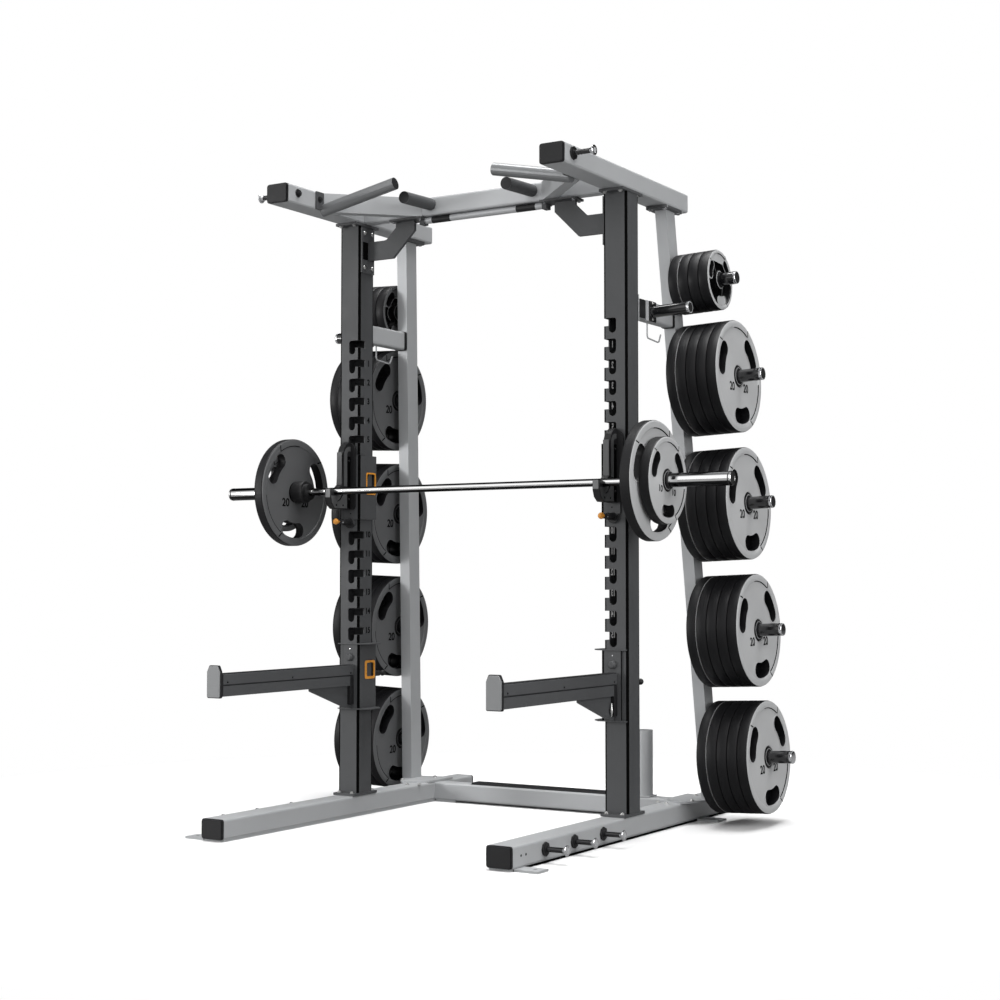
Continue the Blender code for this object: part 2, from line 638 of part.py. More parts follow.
def hook_liner(side):
    """The moulding that the bar rests on: a fin round the steel core, and a round-topped back."""
    back = [(UPRIGHT_X - BACK_HALF, HOOK_LOW + 0.010), (UPRIGHT_X - BACK_HALF + 0.010, HOOK_LOW),
            (UPRIGHT_X + BACK_HALF - 0.010, HOOK_LOW), (UPRIGHT_X + BACK_HALF, HOOK_LOW + 0.010)]
    back += arc(UPRIGHT_X, HOOK_HIGH - BACK_HALF, BACK_HALF, 0, 180, 10)
    rear = -PLATE - GAP
    plate = prism(back, "Y", rear - BACK_THICKNESS, rear)
    fin = prism(hook_outline(0.0), "X", HOOK_INNER, HOOK_OUTER)
    trim = block(0.5, 0.7, rear, 0.05, 1.1, 1.6)
    cut(fin, trim)
    join(plate, fin)
    cut(plate, prism(hook_outline(CORE_INSET - GAP), "X", CORE_INNER - GAP, CORE_OUTER + GAP))
    return finish(plate, named("hook_liner", side), "black", (HOOK_PIN_X, 0.0, HOOK_PIN_Z), side)


def pull_pin(base, colour, side, x, z, knob_y, tip_y):
    """A sprung locking pin with a ball knob."""
    shaft = rod((x, knob_y, z), (x, tip_y, z), PIN_RADIUS, 12)
    knob = ball((x, knob_y, z), PULL_KNOB_RADIUS)
    return finish(join(shaft, knob), named(base, side), colour, (x, tip_y, z), side)


SAFETY_PIN_X = LEG_X
SAFETY_PIN_Z = slot_top(17) - REAR_SLOT_DROP


def safety_arm(side):
    body = channel(SAFETY_BOTTOM, SAFETY_TOP, CARRIAGE_X)
    lips = []
    wall = INNER_FACE - GAP
    for z0 in (SAFETY_BOTTOM, SAFETY_TOP - 0.004):
        outline = [(0.500, 0.018), (0.530, -0.012), (OUTER_FACE - 0.003, -0.012), (OUTER_FACE - 0.003, -GAP),
                   (wall, -GAP), (wall, CARRIAGE_REAR - PLATE), (CARRIAGE_X, CARRIAGE_REAR - PLATE),
                   (CARRIAGE_X, CARRIAGE_REAR + 0.003), (0.530, CARRIAGE_REAR + 0.003), (0.500, 0.080)]
        lips.append(prism(outline, "Z", z0, z0 + 0.004))
    arm = block(ARM_INNER, ARM_OUTER, ARM_END, -PLATE, ARM_BOTTOM, ARM_SPLIT - GAP)
    gusset = prism([(-PLATE, 0.424), (-0.045, 0.428), (-0.265, 0.502), (-0.268, 0.516), (-PLATE, 0.516)],
                   "X", ARM_CENTRE - 0.005, ARM_CENTRE + 0.005)
    barrel = rod((SAFETY_PIN_X, CARRIAGE_REAR - 0.001, SAFETY_PIN_Z), (SAFETY_PIN_X, 0.190, SAFETY_PIN_Z), 0.0105, 16)
    studs = [stud(slot) for slot in SAFETY_STUD_SLOTS]
    join(body, *lips, arm, gusset, barrel, *studs)
    hollow = block(ARM_INNER + WALL, ARM_OUTER - WALL, ARM_END - 0.01, -0.02, ARM_BOTTOM + WALL, ARM_SPLIT - WALL)
    bore = rod((SAFETY_PIN_X, 0.09, SAFETY_PIN_Z), (SAFETY_PIN_X, 0.20, SAFETY_PIN_Z), PIN_RADIUS + 0.0004, 16)
    cut(body, hollow, bore, window(0.536, 0.612))
    return finish(body, named("safety_arm", side), "charcoal", (UPRIGHT_X, 0.0, SAFETY_TOP), side)


def safety_liner(side):
    pad = prism(rounded(ARM_INNER, ARM_OUTER, ARM_SPLIT, ARM_TOP, 0.004, 1), "Y", ARM_END + 0.001, -PLATE - 2 * GAP)
    return finish(pad, named("safety_liner", side), "black", (UPRIGHT_X, 0.0, SAFETY_TOP), side)


def stop_outline(inset):
    """The stop from the front: upright sides, then a narrower top."""
    low = STOP_LOW + inset
    high = STOP_HIGH - inset
    half = STOP_HALF - inset
    neck = STOP_NECK - inset
    points = arc(ARM_CENTRE - half + 0.005, low + 0.005, 0.005, 180, 270, 2)
    points += arc(ARM_CENTRE + half - 0.005, low + 0.005, 0.005, 270, 360, 2)
    points += [(ARM_CENTRE + half, 0.603), (ARM_CENTRE + neck, high - 0.002), (ARM_CENTRE + neck - 0.004, high),
               (ARM_CENTRE - neck + 0.004, high), (ARM_CENTRE - neck, high - 0.002), (ARM_CENTRE - half, 0.603)]
    return points


def safety_stop(side):
    """The raised block that keeps a bar from rolling off the arm's end."""
    near = ARM_END - GAP
    back = prism(stop_outline(0.0), "Y", near - 0.009, near)
    face = prism(stop_outline(0.003), "Y", near - 0.014, near - 0.008)
    return finish(join(back, face), named("safety_stop", side), "grey", (UPRIGHT_X, 0.0, SAFETY_TOP), side)


# -------------------------------------------------------------------- barbell
BAR_ORIGIN = (0.0, BAR_Y, BAR_Z)


def moved_to_bar(obj):
    obj.data.transform(Matrix.Translation((0.0, BAR_Y, BAR_Z)))
    return obj


def bar_shaft():
    reach = SLEEVE_START - GAP
    end = SLEEVE_END - 0.009
    profile = [(-end, 0.0), (-end, SPINDLE_RADIUS), (-reach, SPINDLE_RADIUS), (-reach, BAR_RADIUS),
               (reach, BAR_RADIUS), (reach, SPINDLE_RADIUS), (end, SPINDLE_RADIUS), (end, 0.0)]
    shaft = rod((-reach, BAR_Y, BAR_Z), (reach, BAR_Y, BAR_Z), BAR_RADIUS, 20)
    spindle = rod((profile[0][0], BAR_Y, BAR_Z), (profile[-1][0], BAR_Y, BAR_Z), SPINDLE_RADIUS, 20)
    return finish(join(shaft, spindle), "bar_shaft", "chrome", BAR_ORIGIN)


def bar_sleeve(side):
    """The turning sleeve, with its collar, closed at the outer end."""
    bore = SPINDLE_RADIUS + 0.0006
    blind = SLEEVE_END - 0.007
    body = turned([(SLEEVE_START, bore), (SLEEVE_START, 0.040), (SLEEVE_START + 0.004, COLLAR_RADIUS),
                   (COLLAR_END - 0.004, COLLAR_RADIUS), (COLLAR_END, 0.040), (COLLAR_END, SLEEVE_RADIUS),
                   (SLEEVE_END - 0.002, SLEEVE_RADIUS), (SLEEVE_END, SLEEVE_RADIUS - 0.002), (SLEEVE_END, 0.006),
                   (blind, 0.006), (blind, bore)], 24)
    moved_to_bar(body)
    return finish(body, named("bar_sleeve", side), "chrome", (SLEEVE_START, BAR_Y, BAR_Z), side)


def grip_opening(radius, angle, start, end):
    """A curved hand hole through a plate, centred on an angle in degrees."""
    inner = radius * 0.50
    outer = radius * 0.70
    spread = 17
    points = arc(0.0, 0.0, outer, angle - spread, angle + spread, 4)
    points += arc(0.0, 0.0, inner, angle + spread, angle - spread, 4)
    return prism(points, "X", start - 0.01, end + 0.01)


def bar_plate(size, side):
    start, end, radius = BAR_PLATES[size]
    bore = SLEEVE_RADIUS + 0.0006
    recess = 0.005
    rim = radius * 0.86
    hub = 0.040
    plate = turned([(start, bore), (start, hub), (start + recess, hub + 0.006), (start + recess, rim - 0.006),
                    (start, rim), (start, radius - 0.003), (start + 0.003, radius), (end - 0.003, radius),
                    (end, radius - 0.003), (end, rim), (end - recess, rim - 0.006), (end - recess, hub + 0.006),
                    (end, hub), (end, bore)], 36)
    cut(plate, *[grip_opening(radius, angle, start, end) for angle in (150, 30, 270)])
    moved_to_bar(plate)
    return finish(plate, named(size + "_bar_plate", side), "rubber", (start, BAR_Y, BAR_Z), side)


def plate_stack(index, side):
    """The plates stored on one peg, held against each other hub to hub."""
    small = index == len(PEG_HEIGHTS) - 1
    radius = SMALL_PLATE_RADIUS if small else LARGE_PLATE_RADIUS
    outer = SMALL_STACK if small else LARGE_STACK
    inner = SMALL_STACK_START if small else LARGE_STACK_START
    body = turned([(inner, STACK_BORE), (inner, radius - 0.003), (inner + 0.003, radius),
                   (outer - 0.003, radius), (outer, radius - 0.003), (outer, STACK_BORE)], 28)
    hub = post_point(PEG_HEIGHTS[index])
    lean = math.atan2(peg_direction().z, peg_direction().x)
    body.data.transform(Matrix.Translation(hub) @ Matrix.Rotation(-lean, 4, "Y"))
    name = "plate_stack_%d" % (index + 1)
    return finish(body, named(name, side), "rubber", tuple(hub), side)


# ---------------------------------------------------------------------- build
def build():
    for old in list(bpy.data.objects):
        bpy.data.objects.remove(old)
    for side in (-1, 1):
        foot(side)
        end_cap("foot_cap_front", side, FOOT_BASE, FOOT_TOP, FOOT_FRONT, -1)
        end_cap("foot_cap_rear", side, FOOT_BASE, FOOT_TOP, FOOT_REAR, 1)
        end_cap("beam_cap", side, BEAM_BOTTOM, BEAM_TOP, TOP_BEAM_FRONT, -1)
        upright(side)
        rear_post(side)
        top_beam(side)
        corner_brace(side)
        corner_bracket(side)
        angled_grip(side)
        neutral_grip(side)
        stub_beam(side)
        hook_carriage(side)
        hook_liner(side)
        pull_pin("hook_pin", "orange", side, HOOK_PIN_X, HOOK_PIN_Z, -0.0978, 0.003)
        safety_arm(side)
        safety_liner(side)
        safety_stop(side)
        pull_pin("safety_pin", "chrome", side, SAFETY_PIN_X, SAFETY_PIN_Z, 0.2153, TUBE - 0.003)
        bar_sleeve(side)
        for size in BAR_PLATES:
            bar_plate(size, side)
        for index in range(len(PEG_HEIGHTS)):
            plate_stack(index, side)
    rear_cross_member()
    bar_holder()
    top_cross_beam()
    pull_up_bar()
    bar_rest()
    bar_shaft()


build()
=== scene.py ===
"""Power cage with a loaded barbell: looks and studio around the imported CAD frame."""
import math

import bmesh
import bpy
from mathutils import Matrix, Vector


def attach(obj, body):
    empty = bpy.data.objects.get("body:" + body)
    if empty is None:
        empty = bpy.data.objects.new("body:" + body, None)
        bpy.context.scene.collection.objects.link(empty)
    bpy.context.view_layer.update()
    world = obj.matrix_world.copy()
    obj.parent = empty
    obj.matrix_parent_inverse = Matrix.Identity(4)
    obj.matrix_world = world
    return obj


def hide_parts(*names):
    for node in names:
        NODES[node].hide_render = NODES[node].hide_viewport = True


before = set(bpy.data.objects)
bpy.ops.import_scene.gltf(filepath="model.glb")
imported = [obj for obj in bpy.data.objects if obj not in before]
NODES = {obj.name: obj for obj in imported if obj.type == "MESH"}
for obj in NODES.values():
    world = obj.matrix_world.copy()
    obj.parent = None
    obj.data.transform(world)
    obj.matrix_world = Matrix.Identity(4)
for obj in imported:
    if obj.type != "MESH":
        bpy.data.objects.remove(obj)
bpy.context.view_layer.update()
SIDES = {"left": -1, "right": 1}

# ---------------------------------------------------------------- dimensions
SHIFT = -0.0136              # the uprights' front faces, along Y
TUBE = 0.0955
UPRIGHT_X = 0.598
INNER = UPRIGHT_X - TUBE / 2
OUTER = UPRIGHT_X + TUBE / 2
BEAM_BOTTOM = 2.357
BEAM_TOP = 2.429
SLOT_PITCH = 0.0762
SLOT_TOP = 1.8846
BAR_Y = -0.110 + SHIFT
BAR_Z = 1.2775
SKIN = 0.0004                # how far a cover stands off the solid under it

POST_LOW = Vector((0.698, 0.593 + SHIFT, 0.0803))
POST_HIGH = Vector((0.602, 0.403 + SHIFT, 2.3567))
PEG_HEIGHTS = (0.2505, 0.7295, 1.2085, 1.6875, 2.057)
PEG_RADIUS = 0.0235
STUB_PEG_RADIUS = 0.0215
LARGE_PEG = 0.352            # from the post's centre line to the peg's end
SMALL_PEG = 0.278


# ----------------------------------------------------------------- materials
CLOUD_SCALE = 4.0            # broad colour patches
GLOSS_SCALE = 24.0           # patches of uneven gloss


def node_material(name, colour, roughness, metallic=0.0, specular=0.5, coat=0.0):
    """A Principled material and the pieces needed to add procedural detail."""
    mat = bpy.data.materials.new(name)
    mat.use_nodes = True
    tree = mat.node_tree
    shader = tree.nodes["Principled BSDF"]
    shader.inputs["Base Color"].default_value = (*colour, 1.0)
    shader.inputs["Roughness"].default_value = roughness
    shader.inputs["Metallic"].default_value = metallic
    shader.inputs["Specular IOR Level"].default_value = specular
    shader.inputs["Coat Weight"].default_value = coat
    shader.inputs["Coat Roughness"].default_value = 0.12
    return mat, tree, shader


def noise(tree, vector, scale, detail=3.0, roughness=0.5):
    made = tree.nodes.new("ShaderNodeTexNoise")
    made.inputs["Scale"].default_value = scale
    made.inputs["Detail"].default_value = detail
    made.inputs["Roughness"].default_value = roughness
    tree.links.new(vector, made.inputs["Vector"])
    return made.outputs["Fac"]


def spread(tree, value, low, high, start=0.3, stop=0.7):
    """Map a 0..1 pattern on to a range of numbers."""
    made = tree.nodes.new("ShaderNodeMapRange")
    made.inputs["From Min"].default_value = start
    made.inputs["From Max"].default_value = stop
    made.inputs["To Min"].default_value = low
    made.inputs["To Max"].default_value = high
    tree.links.new(value, made.inputs["Value"])
    return made.outputs["Result"]


def blend_colours(tree, value, dark, light):
    ramp = tree.nodes.new("ShaderNodeValToRGB")
    ramp.color_ramp.elements[0].color = (*dark, 1.0)
    ramp.color_ramp.elements[1].color = (*light, 1.0)
    ramp.color_ramp.elements[0].position = 0.3
    ramp.color_ramp.elements[1].position = 0.7
    tree.links.new(value, ramp.inputs["Fac"])
    return ramp.outputs["Color"]


def bump(tree, shader, value, strength, distance):
    made = tree.nodes.new("ShaderNodeBump")
    made.inputs["Strength"].default_value = strength
    made.inputs["Distance"].default_value = distance
    tree.links.new(value, made.inputs["Height"])
    tree.links.new(made.outputs["Normal"], shader.inputs["Normal"])


def textured(name, colour, vary, roughness, rough_vary, grain, grain_depth, metallic=0.0,
             specular=0.5, coat=0.0):
    """A finish with a broad colour cloud, uneven gloss and a fine grain."""
    mat, tree, shader = node_material(name, colour, roughness, metallic, specular, coat)
    vector = tree.nodes.new("ShaderNodeTexCoord").outputs["Object"]
    broad = noise(tree, vector, CLOUD_SCALE, 4.0)
    dark = tuple(c * (1.0 - vary) for c in colour)
    light = tuple(min(1.0, c * (1.0 + vary)) for c in colour)
    tree.links.new(blend_colours(tree, broad, dark, light), shader.inputs["Base Color"])
    gloss = noise(tree, vector, GLOSS_SCALE, 5.0, 0.6)
    low = max(0.02, roughness - rough_vary)
    tree.links.new(spread(tree, gloss, low, roughness + rough_vary), shader.inputs["Roughness"])
    fine = noise(tree, vector, grain, 2.0)
    bump(tree, shader, fine, 0.35, grain_depth)
    return mat


def math_node(tree, operation, first, second):
    made = tree.nodes.new("ShaderNodeMath")
    made.operation = operation
    made.inputs[2].default_value = 0.5
    for socket, value in zip(made.inputs, (first, second)):
        if isinstance(value, float):
            socket.default_value = value
        else:
            tree.links.new(value, socket)
    return made.outputs[0]


CHARCOAL = textured("charcoal_powder_coat", (0.070, 0.072, 0.075), 0.08, 0.50, 0.05, 900, 0.0003,
                    0.0, 0.35)
SILVER = textured("silver_paint", (0.47, 0.48, 0.49), 0.03, 0.46, 0.04, 1400, 0.0001,
                  0.25, 0.4)
SATIN = textured("satin_grip", (0.22, 0.225, 0.23), 0.04, 0.34, 0.05, 1200, 0.0001, 0.5, 0.4)
BLACK = textured("black_moulding", (0.013, 0.013, 0.014), 0.15, 0.46, 0.06, 1100, 0.0002, 0.0, 0.3)
GLOSS = textured("black_gloss_tube", (0.008, 0.008, 0.009), 0.1, 0.14, 0.03, 300, 0.00005, 0.0, 0.6, 0.6)
CHROME = textured("polished_chrome", (0.80, 0.80, 0.82), 0.02, 0.09, 0.03, 500, 0.00003, 1.0)
STEEL = textured("zinc_plated_steel", (0.62, 0.62, 0.61), 0.07, 0.28, 0.07, 800, 0.0001, 1.0)
RUBBER = textured("plate_urethane", (0.007, 0.007, 0.008), 0.15, 0.48, 0.05, 700, 0.0002, 0.0, 0.25)
# Near-black: painted shade in gaps, holes, recesses, along edges and at steps, and the printed numerals on the
# plates.
PAINTED_SHADE_AND_PRINT = textured("shadow_black", (0.0015, 0.0015, 0.0015), 0.1, 0.75, 0.05, 900, 0.0001, 0.0, 0.03)
# The plates' faces: the black urethane with painted light, lighter on the outer face than on the inner face.
PLATE_INNER_PAINTED_LIGHT = textured("plate_inner_painted_light", (0.115, 0.117, 0.120), 0.06, 0.42, 0.05, 700, 0.0002, 0.0, 0.5)
PLATE_OUTER_PAINTED_LIGHT = textured("plate_outer_painted_light", (0.43, 0.435, 0.44), 0.06, 0.40, 0.05, 700, 0.0002, 0.0, 0.5)
FIN_GREY = textured("hook_moulding", (0.085, 0.086, 0.088), 0.06, 0.45, 0.05, 900, 0.0002)
LIP_GREY = textured("hook_insert", (0.17, 0.172, 0.175), 0.05, 0.45, 0.05, 900, 0.0002)
GREY = textured("grey_moulding", (0.24, 0.245, 0.25), 0.05, 0.48, 0.05, 900, 0.0002)
ORANGE = textured("orange_enamel", (0.80, 0.33, 0.04), 0.06, 0.28, 0.05, 600, 0.0001, 0.0, 0.5, 0.3)
# Light grey, faintly glowing numerals: painted light coming through the numbers cut in the uprights' inner
# walls.
PAINTED_LIGHT_MARK = textured("painted_light_through_numbers", (0.60, 0.60, 0.60), 0.05, 0.5, 0.05, 900, 0.0001)
PAINTED_LIGHT_SHADER = PAINTED_LIGHT_MARK.node_tree.nodes["Principled BSDF"]
PAINTED_LIGHT_SHADER.inputs["Emission Color"].default_value = (1.0, 1.0, 1.0, 1.0)
PAINTED_LIGHT_SHADER.inputs["Emission Strength"].default_value = 0.18


def polished_bar(name):
    """Chrome of a level bar with a painted reflection: a white band along its sides between black upper and
    lower edges, set by which way the surface faces.
    """
    mat = textured(name, (0.8, 0.8, 0.82), 0.02, 0.10, 0.03, 500, 0.00003, 1.0)
    tree = mat.node_tree
    where = tree.nodes.new("ShaderNodeNewGeometry")
    split = tree.nodes.new("ShaderNodeSeparateXYZ")
    tree.links.new(where.outputs["Normal"], split.inputs["Vector"])
    ramp = tree.nodes.new("ShaderNodeValToRGB")
    bands = ramp.color_ramp
    bands.elements[0].position = 0.30
    bands.elements[0].color = (0.02, 0.02, 0.021, 1.0)
    bands.elements[1].position = 0.80
    bands.elements[1].color = (0.02, 0.02, 0.021, 1.0)
    for position in (0.37, 0.68):
        bands.elements.new(position).color = (1.0, 1.0, 1.0, 1.0)
    tree.links.new(math_node(tree, "MULTIPLY_ADD", split.outputs["Z"], 0.5), ramp.inputs["Fac"])
    tree.links.new(ramp.outputs["Color"], tree.nodes["Principled BSDF"].inputs["Base Color"])
    return mat


BAR_CHROME_PAINTED_REFLECTION = polished_bar("bar_chrome_painted_reflection")


def dress(names, mat):
    for name in names:
        slots = NODES[name].data.materials
        slots.clear()
        slots.append(mat)


def both(*bases):
    return [base + "_" + side for base in bases for side in SIDES]


dress(both("foot", "rear_post", "top_beam", "corner_brace", "stub_beam"), SILVER)
dress(both("angled_grip"), SATIN)
dress(["rear_cross_member", "top_cross_beam", "bar_holder", "pull_up_bar"], SILVER)
dress(both("upright", "corner_bracket", "neutral_grip", "hook_carriage", "safety_arm"), CHARCOAL)
dress(both("foot_cap_front", "foot_cap_rear", "beam_cap", "hook_liner") + ["tread_strip"], BLACK)
dress(both("safety_liner"), CHARCOAL)
dress(both("hook_pin"), ORANGE)
dress(both("safety_pin"), BLACK)
dress(both("bar_sleeve") + ["bar_shaft"], BAR_CHROME_PAINTED_REFLECTION)


# ------------------------------------------------------------------- shapes
def piece(name, bm, mat, body, sharp=35, bevel=0.0):
    """Finish a mesh as a named piece that rides on a body."""
    bmesh.ops.remove_doubles(bm, verts=bm.verts, dist=0.000005)
    bmesh.ops.recalc_face_normals(bm, faces=bm.faces)
    mesh = bpy.data.meshes.new(name)
    bm.to_mesh(mesh)
    bm.free()
    mesh.materials.append(mat)
    return place(name, mesh, body, sharp, bevel)


def place(name, mesh, body, sharp=35, bevel=0.0):
    obj = bpy.data.objects.new(name, mesh)
    bpy.context.scene.collection.objects.link(obj)
    mesh.shade_smooth()
    mesh.set_sharp_from_angle(angle=math.radians(sharp))
    if bevel:
        edge = obj.modifiers.new("edge", "BEVEL")
        edge.width = bevel
        edge.segments = 2
        edge.limit_method = "ANGLE"
    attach(obj, body)
    return obj


def add_box(bm, x0, x1, y0, y1, z0, z1):
    corners = [bm.verts.new((x, y, z)) for x in (x0, x1) for y in (y0, y1) for z in (z0, z1)]
    for ring in ((0, 1, 3, 2), (4, 6, 7, 5), (0, 4, 5, 1), (2, 3, 7, 6), (0, 2, 6, 4), (1, 5, 7, 3)):
        bm.faces.new([corners[i] for i in ring])


def lathe(bm, profile, matrix, sides=48):
    """Turn an open profile of (along, radius) points about the local X axis."""
    rings = []
    for along, radius in profile:
        if radius < 1e-6:
            rings.append([bm.verts.new(matrix @ Vector((along, 0.0, 0.0)))])
            continue
        ring = []
        for i in range(sides):
            a = 2 * math.pi * i / sides
            ring.append(bm.verts.new(matrix @ Vector((along, radius * math.cos(a), radius * math.sin(a)))))
        rings.append(ring)
    for first, second in zip(rings, rings[1:]):
        if len(first) == 1 and len(second) == 1:
            continue
        for i in range(sides):
            k = (i + 1) % sides
            if len(first) == 1:
                bm.faces.new((first[0], second[i], second[k]))
            elif len(second) == 1:
                bm.faces.new((first[i], second[0], first[k]))
            else:
                bm.faces.new((first[i], second[i], second[k], first[k]))


def lathed(name, mat, body, slot, matrix, sides, *profiles):
    """A piece made of turned profiles."""
    bm = bmesh.new()
    for profile in profiles:
        lathe(bm, profile, matrix, sides)
    return piece(name, bm, mat, body, 30)


def along(start, direction):
    """A matrix whose X axis runs from start in a direction."""
    turn = Vector(direction).to_track_quat("X", "Z").to_matrix().to_4x4()
    return Matrix.Translation(Vector(start)) @ turn


def arc(u, v, radius, start, end, steps):
    angles = [math.radians(start + (end - start) * i / steps) for i in range(steps + 1)]
    return [(u + radius * math.cos(a), v + radius * math.sin(a)) for a in angles]


def add_prism(bm, points, matrix, low, high):
    """Extrude an outline drawn in the local YZ plane along local X."""
    first = [bm.verts.new(matrix @ Vector((low, u, v))) for u, v in points]
    second = [bm.verts.new(matrix @ Vector((high, u, v))) for u, v in points]
    bm.faces.new(first)
    bm.faces.new(list(reversed(second)))
    for i in range(len(points)):
        k = (i + 1) % len(points)
        bm.faces.new((first[i], second[i], second[k], first[k]))


def add_bolt(bm, centre, direction, size):
    """A hex head on a washer, standing out along a direction."""
    matrix = along(centre, direction)
    washer = [(0.0, 0.0), (0.0, size * 1.25), (0.0014, size * 1.25), (0.0018, size * 1.15), (0.0018, 0.0)]
    lathe(bm, washer, matrix, 24)
    angles = [math.radians(60 * i + 15) for i in range(6)]
    head = [(0.9 * size * math.cos(a), 0.9 * size * math.sin(a)) for a in angles]
    low = 0.0015
    add_prism(bm, head, matrix, low, low + size * 0.62)
    lathe(bm, [(low + size * 0.55, size * 0.55), (low + size * 0.72, size * 0.5), (low + size * 0.80, 0.0)],
          matrix, 16)


def add_button(bm, centre, direction, size):
    """A round socket-head bolt with a round recess."""
    matrix = along(centre, direction)
    profile = [(0.0, size), (size * 0.35, size * 0.95), (size * 0.62, size * 0.72),
               (size * 0.70, size * 0.48), (size * 0.30, size * 0.42), (size * 0.28, 0.0)]
    lathe(bm, profile, matrix, 24)


def bolts(name, spots, direction, mat, body, size, head=add_bolt):
    bm = bmesh.new()
    for spot in spots:
        head(bm, spot, direction, size)
    return piece(name, bm, mat, body, 30)


def curve_mesh(name, curve, matrix):
    """Turn a curve into a mesh, placed by a matrix."""
    holder = bpy.data.objects.new(name, curve)
    bpy.context.scene.collection.objects.link(holder)
    bpy.context.view_layer.update()
    shown = holder.evaluated_get(bpy.context.evaluated_depsgraph_get())
    mesh = bpy.data.meshes.new_from_object(shown)
    bpy.data.objects.remove(holder)
    mesh.transform(matrix)
    return mesh


def text_mesh(name, text, size, matrix, depth):
    """Plain numerals as a thin mesh, drawn facing local +Z."""
    curve = bpy.data.curves.new(name, "FONT")
    curve.body = text
    curve.size = size
    curve.align_x = "CENTER"
    curve.align_y = "CENTER"
    curve.extrude = depth
    curve.offset = size * 0.022
    mesh = curve_mesh(name, curve, matrix)
    mesh.materials.clear()
    return mesh


def face_matrix(point, right, up):
    """Place numerals at a point, reading along right with up above."""
    right = Vector(right)
    up = Vector(up)
    out = right.cross(up)
    turn = Matrix((right, up, out)).transposed().to_4x4()
    return Matrix.Translation(Vector(point)) @ turn


def number(name, text, size, mat, body, matrix, depth=0.0006):
    mesh = text_mesh(name, text, size, matrix, depth)
    mesh.materials.append(mat)
    return place(name, mesh, body, 30)


# -------------------------------------------------------------------- plates
def kidney(radius, angle, inner, outer, spread_angle):
    """A hand hole: a band of a ring with round ends, as (y, z) points."""
    middle = radius * (inner + outer) / 2
    half = radius * (outer - inner) / 2
    points = arc(0.0, 0.0, radius * outer, angle - spread_angle, angle + spread_angle, 12)
    last = angle + spread_angle
    first = angle - spread_angle
    end = math.radians(last)
    points += arc(middle * math.cos(end), middle * math.sin(end), half, last, last + 180, 8)[1:]
    points += arc(0.0, 0.0, radius * inner, last, first, 12)[1:]
    start = math.radians(first)
    points += arc(middle * math.cos(start), middle * math.sin(start), half, first + 180, first + 360, 8)[1:-1]
    return points


def flat_with_holes(name, outlines, half, edge):
    """A flat plate with round edges, from one outer outline and several holes."""
    curve = bpy.data.curves.new(name, "CURVE")
    curve.dimensions = "2D"
    curve.fill_mode = "BOTH"
    curve.extrude = half - edge
    curve.bevel_depth = edge
    curve.bevel_resolution = 2
    curve.offset = -edge
    for points in outlines:
        spline = curve.splines.new("POLY")
        spline.points.add(len(points) - 1)
        spline.use_cyclic_u = True
        for point, (u, v) in zip(spline.points, points):
            point.co = (u, v, 0.0, 1.0)
    return curve_mesh(name, curve, Matrix(((0, 0, 1, 0), (1, 0, 0, 0), (0, 1, 0, 0), (0, 0, 0, 1))))


OPENING_ANGLES = (37, 157, 277)


